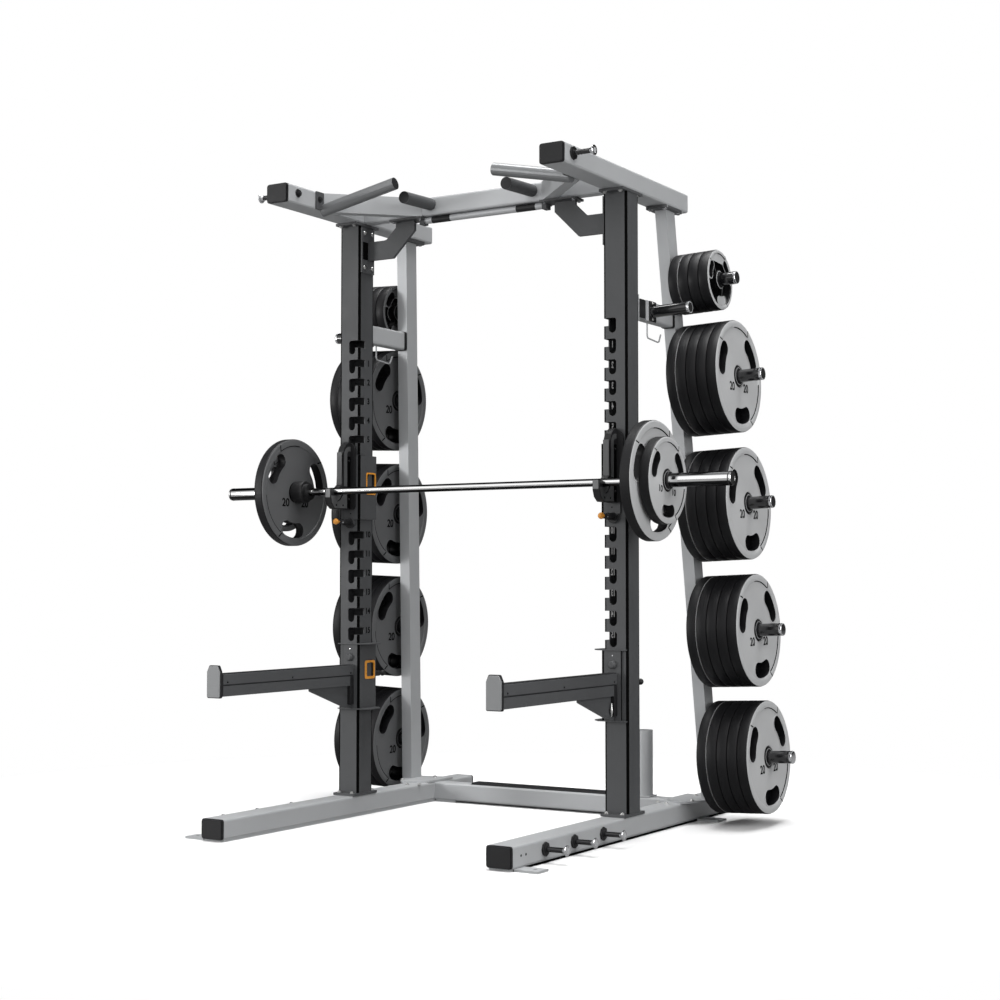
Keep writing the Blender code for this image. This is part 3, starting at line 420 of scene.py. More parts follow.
def plate_mesh(name, radius, thickness, bore, hub, mark, faces=PLATE_OUTER_PAINTED_LIGHT):
    """One weight plate, drawn along local X from its middle, outer face towards +X. Faces get the given finish,
    by default urethane with painted light, lighter on the outer face; rims get plain urethane.
    """
    half = thickness / 2
    web = half - 0.0035
    rim = radius * 0.862
    base = Matrix.Identity(4)
    outline = arc(0.0, 0.0, radius * 0.875, 0, 360, 96)[:-1]
    holes = [kidney(radius, angle, 0.572, 0.855, 15) for angle in OPENING_ANGLES]
    holes.append(arc(0.0, 0.0, bore + 0.004, 0, 360, 48)[:-1])
    bm = bmesh.new()
    bm.from_mesh(flat_with_holes(name, [outline] + holes, web, 0.002))
    # Faces towards +X take the outer painted-light colour, faces towards -X the inner one, rims plain urethane.
    for face in bm.faces:
        face.material_index = 1 if abs(face.normal.x) < 0.6 else (0 if face.normal.x > 0 else 3)
    for sign in (1, -1):
        lathe(bm, [(sign * web, rim), (sign * (half - 0.001), rim + 0.002), (sign * half, rim + 0.004),
                   (sign * half, radius - 0.006), (sign * (half - 0.0018), radius - 0.0018)], base, 96)
        lathe(bm, [(sign * (half - 0.0005), bore + 0.006), (sign * (half - 0.0005), bore + 0.0075),
                   (sign * (half - 0.0012), bore + 0.0085)], base, 64)
        if sign > 0:
            count = len(bm.faces)
    bm.faces.ensure_lookup_table()
    for face in bm.faces[count:]:
        face.material_index = 3
    for angle in OPENING_ANGLES:
        ring = kidney(radius, angle, 0.556, 0.870, 15.4)
        inside = kidney(radius, angle, 0.576, 0.851, 15)
        for level, sign in ((web, 1), (-web, -1)):
            outer_low = [bm.verts.new((level, u, v)) for u, v in ring]
            outer_high = [bm.verts.new((level + sign * 0.0015, u * 0.997, v * 0.997)) for u, v in ring]
            inner_high = [bm.verts.new((level + sign * 0.0015, u, v)) for u, v in inside]
            inner_low = [bm.verts.new((level - sign * 0.002, u, v)) for u, v in inside]
            for first, second in ((outer_low, outer_high), (outer_high, inner_high), (inner_high, inner_low)):
                for i in range(len(first)):
                    k = (i + 1) % len(first)
                    lip = bm.faces.new((first[i], first[k], second[k], second[i]))
                    lip.material_index = 1 if second is inner_low else (0 if sign > 0 else 3)
    count = len(bm.faces)
    lathe(bm, [(-half + 0.0018, radius - 0.0018), (-half + 0.006, radius), (half - 0.006, radius),
               (half - 0.0018, radius - 0.0018)], base, 96)
    for sign in (1, -1):
        lathe(bm, [(sign * (half - 0.0007), bore), (sign * (half - 0.0007), hub - 0.003),
                   (sign * (half - 0.003), hub), (sign * (web - 0.001), hub + 0.001)], base, 64)
    lathe(bm, [(-half + 0.0007, bore), (half - 0.0007, bore)], base, 64)
    bm.faces.ensure_lookup_table()
    for face in bm.faces[count:]:
        face.material_index = 1
    # Dark arcs at the rim's inner edge, dark slanting strips across the rim and a dark hub ring: painted shade
    # of steps and grooves. The numerals beside the hub are print.
    count = len(bm.faces)
    for sign in (1, -1):
        for start, stop in ((60, 97), (-60, -5)):
            add_arc_strip(bm, radius * 0.870, radius * 0.014, start, stop, sign * web, sign * (web + 0.0030))
        for angle, lean in ((140, 24), (60, 24), (-60, 24)):
            add_notch(bm, radius, angle, lean, sign * (half - 0.001), sign * (half + 0.0002))
        lathe(bm, [(sign * (web + 0.0024), hub + 0.001), (sign * (web + 0.0006), hub + 0.0028)], base, 64)
        for angle in (215, 325):
            a = math.radians(angle)
            reach = hub + radius * 0.17
            spot = Vector((sign * (web + 0.0002), reach * math.cos(a), reach * math.sin(a)))
            turn = face_matrix(spot, (0.0, float(sign), 0.0), (0.0, 0.0, 1.0))
            bm.from_mesh(text_mesh(name, mark, radius * 0.21, turn, 0.0004))
    bm.faces.ensure_lookup_table()
    for face in bm.faces[count:]:
        face.material_index = 2
    bmesh.ops.recalc_face_normals(bm, faces=bm.faces)
    mesh = bpy.data.meshes.new(name)
    bm.to_mesh(mesh)
    bm.free()
    for mat in (faces, RUBBER, PAINTED_SHADE_AND_PRINT, PLATE_INNER_PAINTED_LIGHT if faces is PLATE_OUTER_PAINTED_LIGHT else faces):
        mesh.materials.append(mat)
    return mesh


def add_arc_strip(bm, radius, width, start, stop, low, high):
    inner = arc(0.0, 0.0, radius - width / 2, start, stop, 16)
    outer = arc(0.0, 0.0, radius + width / 2, stop, start, 16)
    add_prism(bm, inner + outer, Matrix.Identity(4), min(low, high), max(low, high))


def add_notch(bm, radius, angle, lean, low, high):
    """A short slanting dark strip across the rim: painted shade of a groove."""
    a = math.radians(angle)
    middle = Vector((math.cos(a), math.sin(a))) * radius * 0.925
    b = a + math.radians(lean)
    run = Vector((math.cos(b), math.sin(b))) * radius * 0.058
    side = Vector((-run.y, run.x)).normalized() * radius * 0.012
    points = [tuple(middle - run - side), tuple(middle + run - side), tuple(middle + run + side),
              tuple(middle - run + side)]
    add_prism(bm, points, Matrix.Identity(4), min(low, high), max(low, high))


def post_point(z):
    return POST_LOW.lerp(POST_HIGH, (z - POST_LOW.z) / (POST_HIGH.z - POST_LOW.z))


RUN = POST_HIGH - POST_LOW
PEG_DIRECTION = Vector((RUN.z, 0.0, -RUN.x)).normalized()
LARGE = plate_mesh("large_plate", 0.2127, 0.0408, 0.0252, 0.040, "20")
SMALL = plate_mesh("small_plate", 0.1147, 0.0414, 0.0252, 0.036, "5")
# Plates inside a stack keep plain urethane faces, without the painted light of the outer plates.
LARGE_INSIDE = plate_mesh("large_plate_inside", 0.2127, 0.0408, 0.0252, 0.040, "20", RUBBER)
SMALL_INSIDE = plate_mesh("small_plate_inside", 0.1147, 0.0414, 0.0252, 0.036, "5", RUBBER)


def mirrored(direction, side):
    return Vector((direction.x * side, direction.y, direction.z))


def place_plate(name, mesh, matrix, body, node):
    obj = bpy.data.objects.new(name, mesh)
    bpy.context.scene.collection.objects.link(obj)
    obj.matrix_world = matrix
    bpy.context.view_layer.update()
    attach(obj, body)
    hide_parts(node)


def stored_plates():
    for word, side in SIDES.items():
        for index, height in enumerate(PEG_HEIGHTS):
            small = index == 4
            low, high, count = (0.0420, 0.2097, 4) if small else (0.0490, 0.2555, 5)
            node = "plate_stack_%d_%s" % (index + 1, word)
            body = "stack_%d_%s" % (index + 1, word)
            centre = post_point(height)
            centre.x *= side
            out = mirrored(PEG_DIRECTION, side)
            step = (high - low) / count
            up = Vector((-out.z * side, 0.0, abs(out.x)))
            across = up.cross(out)
            for k in range(count):
                spot = centre + out * (low + step * (k + 0.5))
                turn = Matrix((out, across, up)).transposed().to_4x4()
                pair = (SMALL, SMALL_INSIDE) if small else (LARGE, LARGE_INSIDE)
                mesh = pair[1] if 0 < k < count - 1 else pair[0]
                name = "stored_plate_%d_%d_%s" % (index + 1, k + 1, word)
                place_plate(name, mesh, Matrix.Translation(spot) @ turn, body, node)


# size, inner and outer face, radius, number and how far it is turned on the sleeve
LOADED_PLATES = (("large", 0.7793, 0.8205, 0.2130, "20", 0), ("small", 0.8238, 0.8640, 0.1540, "10", -6))


def bar_plates():
    for word, side in SIDES.items():
        for size, low, high, radius, mark, lean in LOADED_PLATES:
            name = size + "_loaded_plate_" + word
            mesh = plate_mesh(name, radius, high - low, 0.0254, 0.038, mark)
            turn = Matrix.Rotation(0 if side > 0 else math.pi, 4, "Z")
            spin = Matrix.Rotation(math.radians(lean), 4, "X")
            matrix = Matrix.Translation((side * (low + high) / 2, BAR_Y, BAR_Z)) @ turn @ spin
            place_plate(name, mesh, matrix, size + "_plate_" + word, size + "_bar_plate_" + word)


for mesh in (LARGE, SMALL, LARGE_INSIDE, SMALL_INSIDE):
    mesh.shade_smooth()
    mesh.set_sharp_from_angle(angle=math.radians(35))
stored_plates()
bar_plates()


# ---------------------------------------------------------------- pegs, knobs
def storage_pegs():
    for word, side in SIDES.items():
        out = mirrored(PEG_DIRECTION, side)
        for index, height in enumerate(PEG_HEIGHTS):
            reach = SMALL_PEG if index == 4 else LARGE_PEG
            centre = post_point(height)
            centre.x *= side
            matrix = along(centre, out)
            radius = PEG_RADIUS + SKIN
            lathed("peg_tube_%d_%s" % (index + 1, word), GLOSS, "frame", "black", matrix, 48,
                   [(0.0250, radius), (reach - 0.0105, radius), (reach - 0.0100, radius - 0.001)],
                   [(0.0240, radius), (0.0240, radius + 0.004), (0.0265, radius + 0.004), (0.0275, radius)])
            lathed("peg_end_%d_%s" % (index + 1, word), CHROME, "frame", "chrome", matrix, 48,
                   [(reach - 0.0110, radius - 0.0005), (reach - 0.0100, radius), (reach - 0.0020, radius),
                    (reach, radius - 0.0025), (reach + 0.0008, radius * 0.6), (reach + 0.0010, 0.0)])


def band_peg(name, x, y, z, side):
    """A dark peg with a chrome flare on an eight-sided black base."""
    matrix = along((side * x, y, z), (side, 0.0, 0.0))
    bm = bmesh.new()
    lathe(bm, [(0.0, 0.0239), (0.0058, 0.0239), (0.0064, 0.0232), (0.0066, 0.0100)], matrix, 8)
    lathe(bm, [(0.0064, 0.0135), (0.0090, 0.0130), (0.0094, 0.0090)], matrix, 24)
    piece(name + "_base", bm, BLACK, "frame", 30)
    lathed(name + "_rod", GLOSS, "frame", "black", matrix, 40,
           [(0.0060, 0.0090), (0.0660, 0.0092), (0.0700, 0.0097)])
    lathed(name + "_flare", CHROME, "frame", "chrome", matrix, 40,
           [(0.0695, 0.0092), (0.0700, 0.0098), (0.0760, 0.0120), (0.0800, 0.0158), (0.0815, 0.0179),
            (0.0845, 0.0180), (0.0853, 0.0170), (0.0853, 0.0105), (0.0835, 0.0090), (0.0835, 0.0)])


storage_pegs()
for word, side in SIDES.items():
    for index, y in enumerate((-0.597, -0.401, -0.194)):
        band_peg("foot_band_peg_%d_%s" % (index + 1, word), OUTER, y + SHIFT, 0.0465, side)
    band_peg("beam_band_peg_" + word, OUTER, -0.399 + SHIFT, BEAM_TOP - 0.030, side)


# ---------------------------------------------------------------- barbell
def barbell():
    for word, side in SIDES.items():
        body = "sleeve_" + word
        matrix = along((0.0, BAR_Y, BAR_Z), (side, 0.0, 0.0))
        pieces = {
            "sleeve_collar_": (BLACK, "rubber", [
                (0.7069, 0.0145), (0.7069, 0.0300), (0.7078, 0.0320), (0.7240, 0.0322), (0.7255, 0.0335),
                (0.7262, 0.0395), (0.7280, 0.0425), (0.7310, 0.0438), (0.7735, 0.0438), (0.7758, 0.0420),
                (0.7758, 0.0250)]),
            "sleeve_tube_": (BAR_CHROME_PAINTED_REFLECTION, "chrome", [
                (0.7750, 0.0249), (1.1050, 0.0249), (1.1075, 0.0243), (1.1085, 0.0232), (1.1085, 0.0170),
                (1.1072, 0.0160), (1.1072, 0.0)]),
            "sleeve_ring_": (BLACK, "chrome", [
                (0.8642, 0.0250), (0.8642, 0.0290), (0.8660, 0.0300), (0.8720, 0.0300), (0.8735, 0.0290),
                (0.8735, 0.0248)]),
            "sleeve_end_ring_": (BLACK, "chrome", [
                (1.0960, 0.0248), (1.0962, 0.02525), (1.1000, 0.02525), (1.1002, 0.0248)]),
        }
        for name, (mat, slot, profile) in pieces.items():
            made = lathed(name + word, mat, body, slot, matrix, 64, profile)
            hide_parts("bar_sleeve_" + word)
    lathed("bar_skin", BAR_CHROME_PAINTED_REFLECTION, "barbell", "chrome", along((0.0, BAR_Y, BAR_Z), (1.0, 0.0, 0.0)), 64,
           [(-0.7060, 0.0142), (0.7060, 0.0142)])


barbell()


# ---------------------------------------------------------------- numerals
SLOT_NUMBERS = (1, 2, 3, 4, 5, 7, 10, 11, 12, 13, 14, 15)
NUMBER_SIZE = 0.033


def numerals():
    """Numbers by the slots on the uprights' inner faces, near-black as painted shade, and on the inside of the
    same wall, light grey and faintly glowing as painted light coming through them.
    """
    for word, side in SIDES.items():
        right = (0.0, -float(side), 0.0)
        for n in SLOT_NUMBERS:
            y = (0.0560 if n == 7 else 0.0615) + SHIFT
            z = SLOT_TOP - n * SLOT_PITCH - 0.0127
            outside = face_matrix((side * (INNER - 0.0001), y, z), right, (0, 0, 1))
            # Near-black numerals on the inner face: painted shade inside the tube behind the cut numbers.
            number("slot_number_%d_%s" % (n, word), str(n), NUMBER_SIZE, PAINTED_SHADE_AND_PRINT, "frame", outside)
            inside = face_matrix((side * (INNER + 0.0042), y, z), right, (0, 0, 1))
            # Glowing numerals on the inside of the wall: painted light coming through the cut numbers.
            number("slot_number_inside_%d_%s" % (n, word), str(n), NUMBER_SIZE, PAINTED_LIGHT_MARK, "frame", inside, 0.0001)


numerals()


# ----------------------------------------------------------- frame fasteners
def frame_details():
    for word, side in SIDES.items():
        across = [side * UPRIGHT_X + dx for dx in (-0.032, 0.032)]
        depths = [y + SHIFT for y in (-0.0165, 0.112)]
        bolts("upright_base_bolts_" + word, [(x, y, 0.0903) for y in depths for x in across], (0, 0, 1), STEEL,
              "frame", 0.0075)
        bolts("upright_top_bolts_" + word, [(x, y, 2.3467) for y in depths for x in across], (0, 0, -1), STEEL,
              "frame", 0.0075)
        spots = [(side * (INNER - 0.0063), y + SHIFT, z) for y in (0.022, 0.074) for z in (2.180, 2.318)]
        bolts("bracket_side_bolts_" + word, spots, (-side, 0, 0), STEEL, "frame", 0.0085, add_button)
        # A near-black sheet on the bracket's face: painted shade in its recess.
        bm = bmesh.new()
        x0, x1 = sorted((side * (INNER - 0.0072), side * (INNER - 0.0060)))
        add_box(bm, x0, x1, 0.012 + SHIFT, 0.088 + SHIFT, 2.2115, 2.2815)
        piece("bracket_recess_" + word, bm, PAINTED_SHADE_AND_PRINT, "frame")
        # brace flange and the peg's nut on the beam's inner face
        bm = bmesh.new()
        x0, x1 = sorted((side * (INNER - 0.0068), side * (INNER - 0.0003)))
        add_box(bm, x0, x1, -0.292 + SHIFT, -0.245 + SHIFT, 2.358, 2.428)
        piece("brace_flange_" + word, bm, CHARCOAL, "frame", 35, 0.001)
        bolts("brace_bolt_" + word, [(side * (INNER - 0.0068), -0.272 + SHIFT, 2.398)], (-side, 0, 0), BLACK,
              "frame", 0.010)
        bolts("band_peg_nut_" + word, [(side * INNER, -0.399 + SHIFT, 2.399)], (-side, 0, 0), BLACK,
              "frame", 0.013)


frame_details()


# ----------------------------------------------------- shapes in cage positions
AXES = {"X": (1, 2, 0), "Y": (0, 2, 1), "Z": (0, 1, 2)}


def add_loop(bm, side, axis, points, level):
    """Vertices across an axis. Points are the other two coordinates, for the right-hand side."""
    u, v, w = AXES[axis]
    loop = []
    for a, b in points:
        spot = [0.0, 0.0, 0.0]
        spot[u] = a
        spot[v] = b
        spot[w] = level
        loop.append(bm.verts.new((spot[0] * side, spot[1] + SHIFT, spot[2])))
    return loop


def bridge(bm, first, second):
    for i in range(len(first)):
        k = (i + 1) % len(first)
        bm.faces.new((first[i], second[i], second[k], first[k]))


def add_shape(bm, side, axis, points, low, high):
    """Extrude an outline along an axis."""
    first = add_loop(bm, side, axis, points, low)
    second = add_loop(bm, side, axis, points, high)
    bm.faces.new(first)
    bm.faces.new(list(reversed(second)))
    bridge(bm, first, second)


def add_ring(bm, side, axis, outer, inner, low, high):
    """A frame between two outlines that have the same number of points."""
    levels = ((outer, low), (outer, high), (inner, high), (inner, low))
    loops = [add_loop(bm, side, axis, points, level) for points, level in levels]
    for first, second in zip(loops, loops[1:] + loops[:1]):
        bridge(bm, first, second)


def oblong(u0, u1, v0, v1, radius, steps=3):
    points = arc(u1 - radius, v1 - radius, radius, 0, 90, steps)
    points += arc(u0 + radius, v1 - radius, radius, 90, 180, steps)
    points += arc(u0 + radius, v0 + radius, radius, 180, 270, steps)
    points += arc(u1 - radius, v0 + radius, radius, 270, 360, steps)
    return points


def part(name, word, mat, body, shapes, bevel=0.0):
    bm = bmesh.new()
    for axis, points, low, high in shapes:
        add_shape(bm, SIDES[word], axis, points, low, high)
    return piece(name + "_" + word, bm, mat, body, 35, bevel)


def turned(name, word, mat, body, slot, start, direction, profile, sides=32):
    """A turned piece that starts at a cage position, for the right-hand side."""
    side = SIDES[word]
    out = (direction[0] * side, direction[1], direction[2])
    matrix = along((start[0] * side, start[1] + SHIFT, start[2]), out)
    return lathed(name + "_" + word, mat, body, slot, matrix, sides, profile)


def knobs(name, word, mat, body, spots, direction, size, head=add_button):
    side = SIDES[word]
    places = [(x * side, y + SHIFT, z) for x, y, z in spots]
    out = (direction[0] * side, direction[1], direction[2])
    return bolts(name + "_" + word, places, out, mat, body, size, head)


# -------------------------------------------------------------------- J hooks
LEG_X = 0.5865
HOOK_PIN = (LEG_X + 0.004, 1.15905)
FIN_INNER = 0.582
FIN_OUTER = 0.6095
CARRIAGE_INNER = INNER - 0.0063
CARRIAGE_OUTER = 0.6204


def hook_details(word):
    body = "hook_" + word
    ridge = [(-0.057, 1.300), (-0.057, 1.424)]
    ridge += arc(-0.023, 1.424, 0.034, 180, 90, 6)[1:]
    ridge += [(-0.0152, 1.4575), (-0.0152, 1.440), (-0.023, 1.440)]
    ridge += arc(-0.023, 1.4263, 0.0137, 90, 180, 5)[1:]
    ridge += [(-0.0367, 1.300)]
    cheek = [(-0.0367, 1.290), (-0.0570, 1.290), (-0.0600, 1.270), (-0.0790, 1.2640), (-0.1040, 1.2600),
             (-0.1425, 1.2600), (-0.1354, 1.233), (-0.1178, 1.2120), (-0.0367, 1.2120)]
    curve = [(-0.0580, 1.2900), (-0.0704, 1.2680), (-0.0844, 1.2480), (-0.0994, 1.2400), (-0.1000, 1.2370),
             (-0.0830, 1.2440), (-0.0650, 1.2640), (-0.0520, 1.2900)]
    recess = [(-0.0352, 1.2125), (-0.0352, 1.4160), (-0.0310, 1.4190), (-0.0148, 1.4190), (-0.0148, 1.2125)]
    for name, x, sign in (("inner", FIN_INNER, -1), ("outer", FIN_OUTER, 1)):
        near = x + sign * 0.0001
        part("hook_ridge_" + name, word, FIN_GREY, body,
             [("X", ridge, near, x + sign * 0.0009), ("X", cheek, near, x + sign * 0.0007)], 0.0003)
        # Near-black curve, recess and bolt holes on each fin: painted shade.
        dark = [("X", curve, near, x + sign * 0.0012), ("X", recess, near, x + sign * 0.0004)]
        for y in (-0.107, -0.0635):
            dark.append(("X", arc(y, 1.2235, 0.0040, 0, 360, 12)[:-1], near, x + sign * 0.0011))
        part("hook_recess_" + name, word, PAINTED_SHADE_AND_PRINT, body, dark)
        knobs("hook_bolts_" + name, word, BLACK, body,
              [(x + sign * 0.0004, -0.0245, z) for z in (1.402, 1.249)], (sign, 0, 0), 0.0042)
    face = [(FIN_INNER + 0.002, 1.2965), (FIN_OUTER - 0.002, 1.2965), (FIN_OUTER - 0.002, 1.4340),
            (FIN_INNER + 0.002, 1.4340)]
    part("hook_front_band", word, FIN_GREY, body, [("Y", face, -0.0702, -0.0700)])
    part("hook_lip_insert", word, LIP_GREY, body,
         [("Y", oblong(0.5835, 0.6050, 1.2535, 1.2850, 0.002), -0.1464, -0.1455)])
    # A near-black disc on the carriage plate: painted shade in a hole.
    part("hook_plate_hole", word, PAINTED_SHADE_AND_PRINT, body,
         [("Y", arc(0.5860, 1.1930, 0.0028, 0, 360, 12)[:-1], -0.0066, -0.0062)])
    frame_outer = oblong(0.0395, 0.1050, 1.2700, 1.3580, 0.008)
    frame_inner = oblong(0.0460, 0.0990, 1.2760, 1.3520, 0.006)
    part("hook_window_head", word, CHARCOAL, body,
         [("X", [(0.040, 1.3530), (0.104, 1.3530), (0.104, 1.3625), (0.040, 1.3625)], CARRIAGE_INNER - 0.0003,
           CARRIAGE_INNER + 0.0030)])
    bm = bmesh.new()
    add_ring(bm, SIDES[word], "X", frame_outer, frame_inner, CARRIAGE_INNER - 0.0012, CARRIAGE_INNER + 0.003)
    piece("hook_window_" + word, bm, ORANGE, body, 35)
    x, z = HOOK_PIN
    turned("hook_plunger", word, BLACK, body, "black", (x, -0.0063, z), (0, -1, 0),
           [(0.0, 0.0150), (0.0040, 0.0145), (0.0045, 0.0130), (0.0400, 0.0130), (0.0460, 0.0118),
            (0.0475, 0.0100), (0.0475, 0.0064)])
    turned("hook_ferrule", word, CHROME, "hook_lock_" + word, "chrome", (x, -0.0540, z), (0, -1, 0),
           [(0.0, 0.0058), (0.0002, 0.0080), (0.0110, 0.0078), (0.0130, 0.0066), (0.0134, 0.0058)])
    turned("hook_neck", word, BLACK, "hook_lock_" + word, "black", (x, -0.0672, z), (0, -1, 0),
           [(0.0, 0.0058), (0.0002, 0.0098), (0.0100, 0.0098), (0.0120, 0.0075), (0.0122, 0.0058)])
    # A near-black strip on the carriage plate's outer edge: painted shade along the edge.
    edge = [(-0.0062, 1.1705), (-0.0004, 1.1705), (-0.0004, 1.4245), (-0.0062, 1.4245)]
    part("hook_plate_edge", word, PAINTED_SHADE_AND_PRINT, body,
         [("X", edge, CARRIAGE_OUTER, CARRIAGE_OUTER + 0.0006)])
    flap = arc(x, z, 0.0243, -150, 20, 12) + [(x + 0.0150, z + 0.0020), (x - 0.0150, z + 0.0020)]
    part("hook_flap", word, BLACK, body, [("Y", flap, -0.0090, -0.0064)], 0.0006)


# ---------------------------------------------------------------- safety arms
ARM_INNER = 0.568
ARM_OUTER = 0.605
ARM_TOP = 0.595
ARM_END = -0.810


def stop_outline(inset):
    low = 0.5085 + inset
    high = 0.6255 - inset
    half = 0.0315 - inset
    neck = 0.0225 - inset
    points = arc(LEG_X - half + 0.005, low + 0.005, 0.005, 180, 270, 4)
    points += arc(LEG_X + half - 0.005, low + 0.005, 0.005, 270, 360, 4)
    points += [(LEG_X + half, 0.603), (LEG_X + neck, high - 0.002), (LEG_X + neck - 0.004, high),
               (LEG_X - neck + 0.004, high), (LEG_X - neck, high - 0.002), (LEG_X - half, 0.603)]
    return points


def safety_details(word):
    body = "safety_" + word
    stop = part("safety_stop_back", word, BLACK, body,
                [("Y", stop_outline(0.0), ARM_END - 0.0093, ARM_END - 0.0003)], 0.0008)
    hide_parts("safety_stop_" + word)
    face = part("safety_stop_face", word, GREY, body,
                [("Y", stop_outline(0.003), ARM_END - 0.0143, ARM_END - 0.0083)], 0.0008)
    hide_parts("safety_stop_" + word)
    bm = bmesh.new()
    outer = oblong(0.0345, 0.1020, 0.5370, 0.6100, 0.008)
    inner = oblong(0.0475, 0.0955, 0.5465, 0.6010, 0.006)
    add_ring(bm, SIDES[word], "X", outer, inner, CARRIAGE_INNER - 0.0012, CARRIAGE_INNER + 0.003)
    piece("safety_window_" + word, bm, ORANGE, body, 35)
    turned("safety_boss", word, CHARCOAL, body, "charcoal", (LEG_X, -0.0063, 0.6247), (0, -1, 0),
           [(0.0, 0.0150), (0.0060, 0.0150), (0.0085, 0.0140), (0.0120, 0.0108), (0.0124, 0.0)])
    turned("safety_rivet", word, CHROME, body, "chrome", (LEG_X, -0.0063, 0.6565), (0, -1, 0),
           [(0.0, 0.0030), (0.0010, 0.0026), (0.0014, 0.0)], 16)
    # Near-black lines along the arm's sides: painted shade in the seam between the liner and the arm.
    seam = [(-0.789, 0.5512), (-0.012, 0.5512), (-0.012, 0.5526), (-0.789, 0.5526)]
    for name, x, sign in (("inner", ARM_INNER, -1), ("outer", ARM_OUTER, 1)):
        knobs("safety_liner_bolts_" + name, word, BLACK, body,
              [(x, y, 0.5635) for y in (-0.766, -0.394, -0.0265)], (sign, 0, 0), 0.0038)
        part("safety_seam_" + name, word, PAINTED_SHADE_AND_PRINT, body,
             [("X", seam, x + sign * 0.0001, x + sign * 0.0003)])
    part("safety_pad_top", word, BLACK, body,
         [("Z", [(ARM_INNER + 0.001, -0.789), (ARM_OUTER - 0.001, -0.789), (ARM_OUTER - 0.001, -0.008),
                 (ARM_INNER + 0.001, -0.008)], ARM_TOP - 0.0005, ARM_TOP + 0.0004)])
    part("safety_end_strip", word, BLACK, body,
         [("Y", oblong(ARM_INNER - 0.0006, ARM_OUTER + 0.0006, 0.5125, 0.5956, 0.003), ARM_END + 0.0003,
           ARM_END + 0.0200)], 0.0006)
    part("safety_root_block", word, BLACK, body,
         [("Y", oblong(ARM_INNER - 0.0008, ARM_OUTER + 0.0008, 0.4400, 0.5525, 0.003), -0.0300, -0.0064)],
         0.001)
    # A near-black strip on the carriage plate's outer edge: painted shade along the edge.
    edge = [(-0.0062, 0.4235), (-0.0004, 0.4235), (-0.0004, 0.6745), (-0.0062, 0.6745)]
    part("safety_plate_edge", word, PAINTED_SHADE_AND_PRINT, body,
         [("X", edge, CARRIAGE_OUTER, CARRIAGE_OUTER + 0.0006)])
    turned("safety_clip", word, STEEL, body, "silver", (ARM_OUTER - 0.005, -0.0400, 0.4890), (0, 0, -1),
           [(0.0, 0.0), (0.0010, 0.0016), (0.0100, 0.0026), (0.0240, 0.0058), (0.0300, 0.0060),
            (0.0440, 0.0018), (0.0500, 0.0014), (0.0505, 0.0)], 12)
    turned("safety_plunger", word, BLACK, body, "black", (LEG_X, 0.1092, 0.5520), (0, 1, 0),
           [(0.0, 0.0170), (0.0040, 0.0165), (0.0048, 0.0130), (0.0300, 0.0125), (0.0310, 0.0110),
            (0.0800, 0.0108), (0.0812, 0.0098), (0.0812, 0.0064)])


# ----------------------------------------------------------------- stub beams
STUB_X0 = 0.5975
STUB_X1 = 0.6445
STUB_Z0 = 1.893
STUB_Z1 = 1.967
STUB_MOUNT = STUB_X1 + 0.004


def stub_details(word):
    side = SIDES[word]
    cover = oblong(0.1030, 0.1485, STUB_Z0 + 0.002, STUB_Z1 - 0.002, 0.004)
    part("stub_cover", word, BLACK, "frame", [("X", cover, STUB_X1 + 0.0001, STUB_X1 + 0.0020)], 0.0005)
    strap = oblong(0.1495, 0.1710, STUB_Z0 - 0.0035, STUB_Z1 - 0.0015, 0.002)
    part("stub_strap", word, SILVER, "frame", [("X", strap, STUB_MOUNT, STUB_MOUNT + 0.0006)])
    flange = oblong(0.1715, 0.2295, STUB_Z0 - 0.0035, STUB_Z1 - 0.0015, 0.004)
    part("stub_flange", word, BLACK, "frame", [("X", flange, STUB_MOUNT, STUB_MOUNT + 0.0030)], 0.0006)
    knobs("stub_flange_bolts", word, STEEL, "frame",
          [(STUB_MOUNT + 0.003, 0.199, z) for z in (1.8985, 1.9575)], (1, 0, 0), 0.0060)
    out = mirrored(PEG_DIRECTION, side)
    start = Vector((side * (STUB_X1 + 0.003), 0.198 + SHIFT, 1.9255))
    matrix = along(start, out)
    radius = STUB_PEG_RADIUS + SKIN
    lathed("stub_peg_tube_" + word, GLOSS, "frame", "black", matrix, 48,
           [(0.0046, radius), (0.1500, radius), (0.1503, radius - 0.001)])
    lathed("stub_peg_end_" + word, CHROME, "frame", "chrome", matrix, 48,
           [(0.1495, radius - 0.0005), (0.1503, radius + 0.0002), (0.1560, radius - 0.0002),
            (0.1592, radius - 0.0035), (0.1600, radius * 0.6), (0.1602, 0.0)])
    rear = post_point(1.93).y - SHIFT - 0.03725 - 0.004
    bm = bmesh.new()
    outer = oblong(STUB_X0 - 0.0022, STUB_X1 + 0.0022, STUB_Z0 - 0.0022, STUB_Z1 + 0.0022, 0.008)
    inner = oblong(STUB_X0 - 0.0005, STUB_X1 + 0.0005, STUB_Z0 - 0.0005, STUB_Z1 + 0.0005, 0.0065)
    add_ring(bm, side, "Y", outer, inner, rear - 0.0150, rear + 0.0005)
    piece("stub_end_band_" + word, bm, BLACK, "frame", 35)


